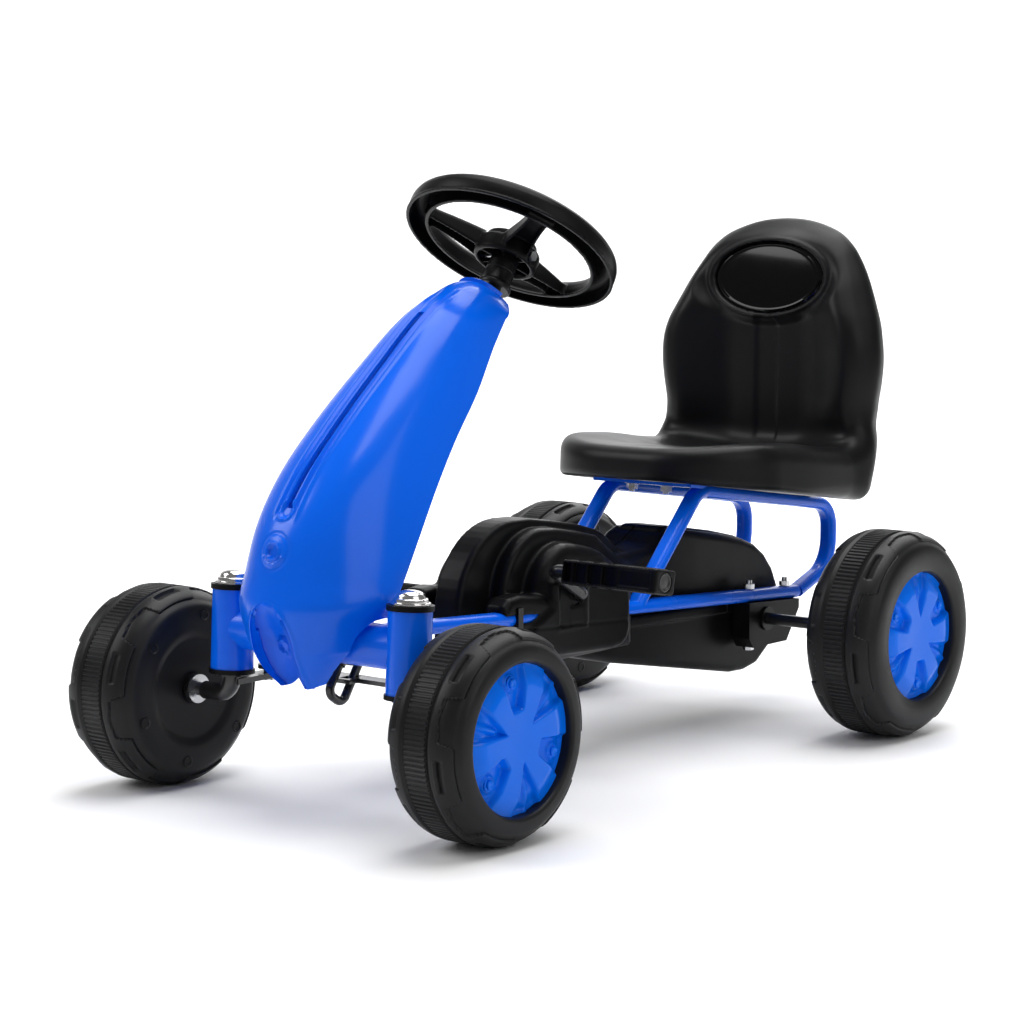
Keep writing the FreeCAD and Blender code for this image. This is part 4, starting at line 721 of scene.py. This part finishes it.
P_A = arch(245, 150, 82, [(268, 231.5), (300, 226.8), (340, 220), (372, 211.5), (382, 207.5), (430, 174)], 173, 100)
P_A2 = arch(238, 165, 50, [(262, 213.8), (300, 209), (330, 203), (372, 196), (424, 174)], 191, 100)
P_B = arch(267, 158, 65, [(288, 221.5), (330, 214), (352, 209), (404, 174)], 212, 100, 60)
P_B2 = arch(252, 158, 50, [(275, 207), (320, 202), (340, 198), (404, 174)], 207, 100)
P_C = arch(281, 155, 54, [(298, 207), (325, 201), (336, 197), (384, 168)], 238, 100, 47)
P_C2 = arch(266, 155, 50, [(290, 204), (325, 198), (384, 168)], 222, 100)
P_REAR = [(300, 110), (300, 176), (396, 186), (436, 187.5), (450, 191), (461, 198), (474, 202.6), (492, 201.5), (560, 190.5), (600, 182.0), (622, 174.5), (640, 163.0),
          (655, 147.0), (666, 126.0), (671, 108.0), (671.5, 96.0), (560, 96)]
P_LOW = [(288, 100), (300, 176), (420, 178), (420, 104)]
P_SKIRT = [(210, 135), (212, 131), (257, 109.5), (266, 108.2), (340, 105.0), (354, 106.5), (362, 111.5), (366, 121), (366.0, 158), (352, 168), (318, 179), (252, 180), (247.5, 176), (247, 153)]
P_LUG = [(177, 150), (180, 162), (188, 168.5), (204, 170), (236, 166), (252, 160), (262, 150), (262, 132), (206, 132), (199, 142)]
P_TRAY = [(283, 104), (300, 120.5), (399, 124.0), (589, 118.0), (640, 115.5), (668, 112), (671, 98), (663, 82), (648, 64), (626, 49), (606, 44.2), (584, 44.6),
          (376, 82), (300, 99.5)]
RIM = [(283, 104), (300, 121.0), (399, 124.5), (589, 118.5), (640, 116), (669, 112.5), (671.6, 105), (589, 109.0), (399, 114.5), (300, 110.5)]
CREASE = [(292, 104.5), (376, 90.5), (584, 54.5), (610, 52.5)]


def case_outer(x, y, z, side):
    o = 0 * x + 0 * y + 0 * z
    if side > 0:
        f = extrude(sd_poly(y, z, P_A) + 0 * x, x + 14.0, 36.0, 5.0)
        b = extrude(sd_poly(y, z, P_B) + 0 * x, x - 4.0, 34.0, 7.0)
        c = extrude(sd_poly(y, z, P_C) + 0 * x, x - 14.0, 44.0, 12.0)
    else:
        f = extrude(sd_poly(y, z, P_A2) + 0 * x, -x - 2.0, 22.0, 9.0)
        b = extrude(sd_poly(y, z, P_B2) + 0 * x, -x - 4.0, 34.0, 9.0)
        c = extrude(sd_poly(y, z, P_C2) + 0 * x, -x - 14.0, 44.0, 13.0)
        rim = extrude(sd_poly(y, z, P_A2) - 3.0 + 0 * x, -x - 9.5, 3.6, 1.6)
        f = smin(f, rim, 2.5)
    ax_ = np.abs(x)
    f = smin(f, smin(b, c, 4.5), 3.5)
    g = extrude(sd_poly(y, z, P_REAR) + 0 * x, ax_, 38.0, 8.0)
    # ridge along the top of the rear cover, and the step its lid makes
    dr = sd_poly(y, z, P_REAR)
    g = smin(g, extrude(dr - 2.2 + 0 * x, ax_, 24.0, 3.0) + 30 * smooth(470, 455, y) + 30 * smooth(648, 664, y), 5.0)
    f = smin(f, g, 5.0)
    s = extrude(sd_poly(y, z, P_SKIRT) + 0 * x, ax_ - 48.0, 18.0, 4.5)
    f = smin(f, s, 8.0)
    lug = extrude(sd_poly(y, z, P_LUG) + 0 * x, ax_ - 50.0, 13.5, 8.0)
    f = smin(f, lug, 5.0)
    return f


def case_field(side):
    def f(x, y, z):
        ax_ = np.abs(x)
        o = case_outer(x, y, z, side)
        inner = o + 2.6
        d = np.maximum(o, -inner)
        # bearing window on the side, over the crank
        win = sd_box(ax_, y, z, (75.1, 275.0, 154.5), (10.0, 20.5, 21.0), 3.0)
        floor_ = sd_box(ax_, y, z, (63.9, 275.0, 154.5), (1.3, 23.0, 23.5), 0.6)
        d = np.minimum(d, floor_)
        frame_ = np.maximum(sd_box(ax_, y, z, (63.5, 275.0, 154.5), (3.3, 23.5, 24.0), 2.2), o - 1.2)
        d = smin(d, frame_, 2.0)
        d = smax(d, -win, 0.8)
        step = sd_box(ax_, y, z, (64.2, 283.0, 142.5), (2.0, 11.0, 9.5), 0.8)
        d = smin(d, step, 0.6)
        # seam between the side and the rail cover under it
        zr = 139.0 - 0.0575 * (y - 200)
        sk = (y > 198) & (y < 368) & (ax_ > 60)
        d = d + np.where(sk, 0.9 * bump(z - zr, 1.6), 0.0)
        # holes: crank, rear axle, both rails
        d = np.maximum(d, 9.4 - np.sqrt((y - 284.0) ** 2 + (z - 162.0) ** 2) + 0 * x)
        d = np.maximum(d, 9.6 - np.sqrt((y - 602.5) ** 2 + (z - 101.6) ** 2) + 0 * x)
        u, v = np.maximum(np.abs(ax_ - 53.5) - 2.5, 0), z - rail_zc(y)
        d = np.maximum(d, 6.95 - np.sqrt(u ** 2 + v ** 2))
        # hoop's foot comes up through the back of the cover
        low = np.interp(y, [160, 283, 300, 399, 589, 640, 669, 690], [100.0, 104.6, 121.5, 125.0, 119.0, 116.5, 113.0, 113.0])
        core = smooth(39.0, 41.0, ax_)
        d = np.maximum(d, (low - z) - 60.0 * core)
        cut = (x - SPLIT + 0.12) if side < 0 else (SPLIT + 0.12 - x)
        return np.maximum(d, cut)
    return f


solid("chain_case_left_shell", case_field(1), (-9, 156, 84), (70, 676, 238), 1.45, M["case_black"], "frame", ["chain_case_left"], 42.0)
solid("chain_case_right_shell", case_field(-1), (-70, 174, 84), (-5, 676, 222), 1.45, M["case_black"], "frame", ["chain_case_right"], 42.0)


def tray_field(x, y, z):
    ax_ = np.abs(x)
    d2 = sd_poly(y, z, P_TRAY)
    # deeper sides lean in a little towards the bottom edge
    cr = np.interp(y, [p_[0] for p_ in CREASE], [p_[1] for p_ in CREASE])
    half = 38.0 - 4.0 * smooth(0, 14, cr - z)
    a, b = d2 + 6.0 + 0 * x, ax_ - half + 6.0
    o = np.minimum(np.maximum(a, b), 0) + np.sqrt(np.maximum(a, 0) ** 2 + np.maximum(b, 0) ** 2) - 6.0
    o = o + 0 * x
    inner = o + 2.6
    top = np.interp(y, [283, 300, 399, 589, 640, 669, 690], [104.0, 120.9, 124.4, 118.4, 115.9, 112.4, 112.4])
    band = extrude(sd_poly(y, z, RIM) + 0 * x, ax_, 41.3, 1.2)
    lid = extrude(sd_poly(y, z, RIM) - 3.0 + 0 * x, ax_, 35.6, 0.5)
    d = smin(np.maximum(o, -inner), np.maximum(band, -lid), 2.2)
    d = np.maximum(d, z - top)
    # room for the bearing blocks and the axle
    d = smax(d, -sd_box(ax_, y, z, (54.0, 617.0, 100.0), (14.5, 52.0, 34.0), 3.0), 2.5)
    d = np.maximum(d, 9.6 - np.sqrt((y - 602.5) ** 2 + (z - 101.6) ** 2) + 0 * x)
    return d


solid("chain_case_tray_shell", tray_field, (-44, 278, 38), (44, 678, 128), 1.45, M["case_black"], "frame", ["chain_case_tray"], 42.0)

# ------------------------------------------------------------------- pedals
def pedal_field(X_, v, w):
    d = sd_box(X_, v, w, (147.5, 0, 0), (52.5, 15.0, 11.0), 2.4)
    for a, b in ((97.3, 106.0), (108.0, 122.3), (124.3, 138.6), (140.6, 154.9)):
        c, h = (a + b) / 2, (b - a) / 2
        cell = sd_box(X_, np.abs(v), w, (c, 16.6, 0), (h, 7.8, 8.5), 1.0)
        d = smax(d, -cell, 0.8)
        # drain slots through the treads over each cell
        if b - a > 10:
            hole = sd_box(X_, np.abs(v), np.abs(w), (c, 10.9, 11.0), (h - 3.4, 1.1, 3.0), 0.6)
            d = smax(d, -hole, 0.4)
    # fine teeth along the edges of the treads
    tooth = 0.35 * np.cos(X_ * 2 * math.pi / 4.0)
    edge = smooth(12.6, 14.6, np.abs(v)) * smooth(8.6, 10.0, np.abs(w)) * smooth(97, 101, X_) * smooth(194, 188, X_)
    d = d + (0.45 + tooth) * edge
    # raised lengthwise grips on both treads
    grip = np.abs(np.mod(v + 2.5, 5.0) - 2.5) - 0.7
    d = smin(d, np.maximum(np.maximum(grip, np.abs(v) - 11.0), np.maximum(np.abs(w) - 11.7, np.abs(X_ - 147.5) - 46.0)), 0.5)
    # shallow framed panel on the solid end
    bd = sd_box(X_, np.abs(v), w, (176.5, 15.7, 0), (17.5, 1.4, 7.4), 1.0)
    d = smax(d, -bd, 0.7)
    # cap over the pin sits in the outer end
    r = np.sqrt(v ** 2 + w ** 2) + 0 * X_
    d = smax(d, -np.maximum(r - 9.35, 196.3 - X_), 0.4)
    return np.maximum(d, np.minimum(6.5 - r, 195.0 - X_))


for sx, nm in ((1, "left"), (-1, "right")):
    pa_ = math.radians(30.2)
    pc = (284.0 - sx * 57.0 * math.cos(pa_), 162.0 + sx * 57.0 * math.sin(pa_))

    def on_crank(p, sx=sx, pc=pc):
        c_, s_ = math.cos(math.radians(10.0)), math.sin(math.radians(10.0))
        return np.stack([sx * p[:, 0], pc[0] + p[:, 1] * c_ + p[:, 2] * s_, pc[1] - p[:, 1] * s_ + p[:, 2] * c_], 1)

    def end_on(p, on=on_crank):
        return on(np.stack([p[:, 2], p[:, 0], p[:, 1]], 1))
    solid(nm + "_pedal_block", pedal_field, (93.0, -17.5, -13.5), (202.0, 17.5, 13.5), 0.70, M["case_black"], nm + "_pedal", [nm + "_pedal"], 36.0, on_crank)
    capp = [(0.4, 196.6), (8.3, 196.6), (8.9, 197.0), (9.0, 197.6), (9.0, 199.0), (8.7, 199.6), (8.0, 199.9), (7.2, 199.8), (6.7, 199.3), (6.4, 198.9), (5.6, 198.8), (3.4, 199.0),
            (1.6, 199.1), (0.4, 199.1)]
    lathe(nm + "_pedal_end_disc", capp, 72, end_on, M["end_cap_black"], nm + "_pedal", [nm + "_pedal_end_cap"])

# ----------------------------------------------------------- steering wheel
TILT = math.radians(33.3)
CO = np.array([0, 268.1, 487.5])
CA = np.array([0, math.sin(TILT), math.cos(TILT)])
CE = np.array([0, math.cos(TILT), -math.sin(TILT)])


def on_column(p):
    return CO + np.outer(p[:, 0], [1, 0, 0]) + np.outer(p[:, 1], CE) + np.outer(p[:, 2], CA)


def wheel_field(u, v, w):
    r = np.sqrt(u ** 2 + v ** 2)
    ring_o = [(100.2, -9.6), (101.2, -6), (101.5, -2), (101.3, 2.5), (99.6, 7), (96.2, 10.2), (91, 11.4), (86.2, 10.2), (82.9, 7), (80.8, 2.5), (80.3, -3), (80.9, -9.6)]
    ring_i = [(98.0, -14), (99.0, -6), (99.2, 1.5), (97.6, 5.4), (95.2, 7.9), (91, 8.8), (86.9, 7.9), (84.9, 5.4), (83.1, 1.5), (82.8, -3), (83.2, -14)]
    d = np.maximum(sd_poly(r + 0 * w, w + 0 * r, ring_o), -sd_poly(r + 0 * w, w + 0 * r, ring_i))
    # fine lip along the rim's lower edge
    d = smin(d, np.maximum(np.abs(np.abs(r - 90.55) - 9.75) - 1.5, np.abs(w + 8.9) - 0.9), 0.8)
    hub = smax(r - 30.2, np.abs(w + 15.6) - 8.8, 4.0)
    hub = np.maximum(hub, -np.maximum(r - 25.4, w + 12.0))
    hub = np.minimum(hub, np.maximum(r - 13.0, np.abs(w + 17.5) - 8.9))
    hub = np.maximum(hub, -np.maximum(r - 24.9, -9.2 - w))
    for k in range(6):
        a = math.radians(60 * k + 30)
        rb = np.maximum(np.abs(u * math.cos(a) + v * math.sin(a)) - 1.0, np.maximum(13.0 - (-u * math.sin(a) + v * math.cos(a)), r - 26.5))
        hub = np.minimum(hub, np.maximum(rb, np.abs(w + 17.0) - 6.0))
    d = np.minimum(d, hub)
    for ang in (-55, 55, 180):
        a = math.radians(ang)
        s_ = u * math.sin(a) - v * math.cos(a)
        t_ = np.abs(u * math.cos(a) + v * math.sin(a))
        k = np.clip((s_ - 24) / 60.0, 0, 1)
        top = -3.0 + 7.0 * k + 1.2 * np.sin(k * math.pi)
        dep = 18.6 - 8.2 * k
        hw = 14.2 - 4.6 * np.sin(np.minimum(k * 1.25, 1.0) * math.pi / 2) + 3.0 * smooth(0.82, 1.0, k)
        body = smax(smax(t_ - hw, w - top, 4.0), top - dep - w, 1.2)
        body = np.maximum(body, np.maximum(24.0 - s_, s_ - 84.5))
        cav = np.maximum(np.maximum(t_ - hw + 2.4, w - top + 5.0), np.maximum(27.0 - s_, s_ - 82.0))
        # shallow raised panel on the spoke's upper face
        pan = np.maximum(t_ - hw + 5.2, np.maximum(34.0 - s_, s_ - 76.0))
        body = body + 0.8 * smooth(-0.3, 0.9, -pan) * smooth(-3.0, -1.0, w - top)
        d = smin(d, np.maximum(body, -cav), 2.2)
    d = np.maximum(d, 7.15 - r)
    # cross bolt's seat through the hub's tube
    d = np.maximum(d, -np.maximum(np.sqrt(v ** 2 + (w + 16.0) ** 2) - 6.4, 28.2 - np.abs(u)))
    return d


solid("steering_wheel_moulding", wheel_field, (-103.5, -103.5, -28), (103.5, 103.5, 14), 1.15, M["case_black"], "steering",
      ["steering_wheel"], 44.0, on_column)


cap_prof = [(7.5, -1.5), (7.5, -8.6), (24.4, -8.6), (24.6, -8.2), (24.6, -1.9), (24.2, -0.9), (23.3, -0.2), (21.5, 0.6), (19.0, 1.25), (15.5, 1.85), (11.0, 2.25), (6.0, 2.45), (0.4, 2.5),
            (0.4, -1.5)]
lathe("steering_wheel_dome", cap_prof, 96, on_column, M["case_black"], "steering", ["steering_wheel_cap"])
slv = [(7.0, -26.4), (13.0, -26.4), (13.5, -27.0), (13.5, -33.0), (13.0, -33.6), (13.0, -34.6), (13.6, -35.2), (13.6, -44.6), (14.3, -45.8), (15.6, -47.2), (15.8, -48.4), (15.8, -51.2),
       (15.2, -52.1), (7.0, -52.1)]
lathe("column_sleeve_turned", slv, 72, on_column, M["nylon_black"], "steering", ["column_sleeve"])

# --------------------------------------------------------- kingpin hardware
for sx, nm in ((1, "left"), (-1, "right")):
    cst = math.radians(3.0)
    base = np.array([sx * 103.5, (184.0 - 90.0) * math.tan(cst), 184.0])
    kd = np.array([0, math.sin(cst), math.cos(cst)])
    ke = np.array([0, math.cos(cst), -math.sin(cst)])

    def on_pin(p, base=base, kd=kd, ke=ke):
        return base + np.outer(p[:, 0], [1, 0, 0]) + np.outer(p[:, 1], ke) + np.outer(p[:, 2], kd)
    nutp = [(8.02, 4.6), (16.6, 4.6), (17.4, 5.0), (17.5, 5.8), (17.2, 6.6), (16.2, 7.0), (15.2, 7.1), (15.2, 8.2), (15.0, 9.6), (14.4, 10.1), (13.0, 10.3), (12.7, 11.0), (12.4, 12.4),
            (11.4, 13.9), (9.6, 15.3), (7.2, 16.3), (4.2, 16.95), (0.4, 17.2), (0.4, 12.2), (8.02, 12.0)]
    lathe(nm + "_kingpin_dome", nutp, 72, on_pin, M["chrome_steel"], nm + "_knuckle", [nm + "_kingpin_dome_nut"])

#PARTS#

# ------------------------------------------------------- floor, light, camera
def floor():
    me = bpy.data.meshes.new("studio_floor")
    n = 60
    vs, fs = [], []
    prof = [(-3.0, 0.0)] + [(y, 0.0) for y in np.linspace(-2.0, 3.2, 8)] + \
           [(3.2 + 1.6 * math.sin(a), 1.6 - 1.6 * math.cos(a)) for a in np.linspace(0.1, math.pi / 2, 14)] + [(4.8, 5.0)]
    c, s = math.cos(math.radians(39)), math.sin(math.radians(39))
    for y, z in prof:
        for x in (-7.0, 7.0):
            vs.append((x * c - y * s, x * s + y * c, z - 0.0002))
    for i in range(len(prof) - 1):
        fs.append((2 * i, 2 * i + 1, 2 * i + 3, 2 * i + 2))
    me.from_pydata(vs, [], fs)
    for p in me.polygons:
        p.use_smooth = True
    o = bpy.data.objects.new("studio_floor", me)
    COL.objects.link(o)
    m = bpy.data.materials.new("studio_white")
    m.use_nodes = True
    b = m.node_tree.nodes["Principled BSDF"]
    b.inputs["Base Color"].default_value = (0.93, 0.93, 0.935, 1)
    b.inputs["Roughness"].default_value = 0.75
    me.materials.append(m)


def area(name, loc, look, size, size_y, power, color=(1, 1, 1)):
    d = bpy.data.lights.new(name, "AREA")
    d.shape = "RECTANGLE"
    d.size, d.size_y = size, size_y
    d.energy = power
    d.color = color
    o = bpy.data.objects.new(name, d)
    COL.objects.link(o)
    o.location = loc
    o.rotation_mode = "QUATERNION"
    o.rotation_quaternion = (Vector(look) - Vector(loc)).to_track_quat("-Z", "Y")
    return o


floor()
area("key_left", (-1.9, -1.9, 2.3), (0, -0.1, 0.2), 1.6, 1.6, 42)
area("fill_right", (2.6, -0.4, 1.5), (0, 0, 0.2), 1.9, 1.9, 17)
area("top", (0.2, 0.3, 2.6), (0, 0, 0.2), 2.2, 2.0, 64)
area("rim", (-0.6, 2.2, 1.6), (0, 0.1, 0.3), 1.6, 1.0, 14)
area("backdrop", (-0.6, 1.6, 2.9), (-2.6, 3.6, 0.6), 3.0, 1.2, 150)
world = bpy.data.worlds.new("studio")
SCENE.world = world
world.use_nodes = True
bg = world.node_tree.nodes["Background"]
bg.inputs["Color"].default_value = (1.0, 1.0, 1.0, 1)
bg.inputs["Strength"].default_value = 0.19

cam = bpy.data.cameras.new("camera")
co = bpy.data.objects.new("camera", cam)
COL.objects.link(co)
cam.sensor_width = 36.0
cam.lens = 91.75
cam.clip_start, cam.clip_end = 0.05, 50.0
eye = Vector(tuple(metres([[1527.7, -1618.4, 510.7]])[0]))
tgt = Vector(tuple(metres([[0.0, 268.8, 234.9]])[0]))
co.location = eye
co.rotation_mode = "QUATERNION"
co.rotation_quaternion = (tgt - eye).to_track_quat("-Z", "Y")
SCENE.camera = co
SCENE.view_settings.view_transform = "Standard"
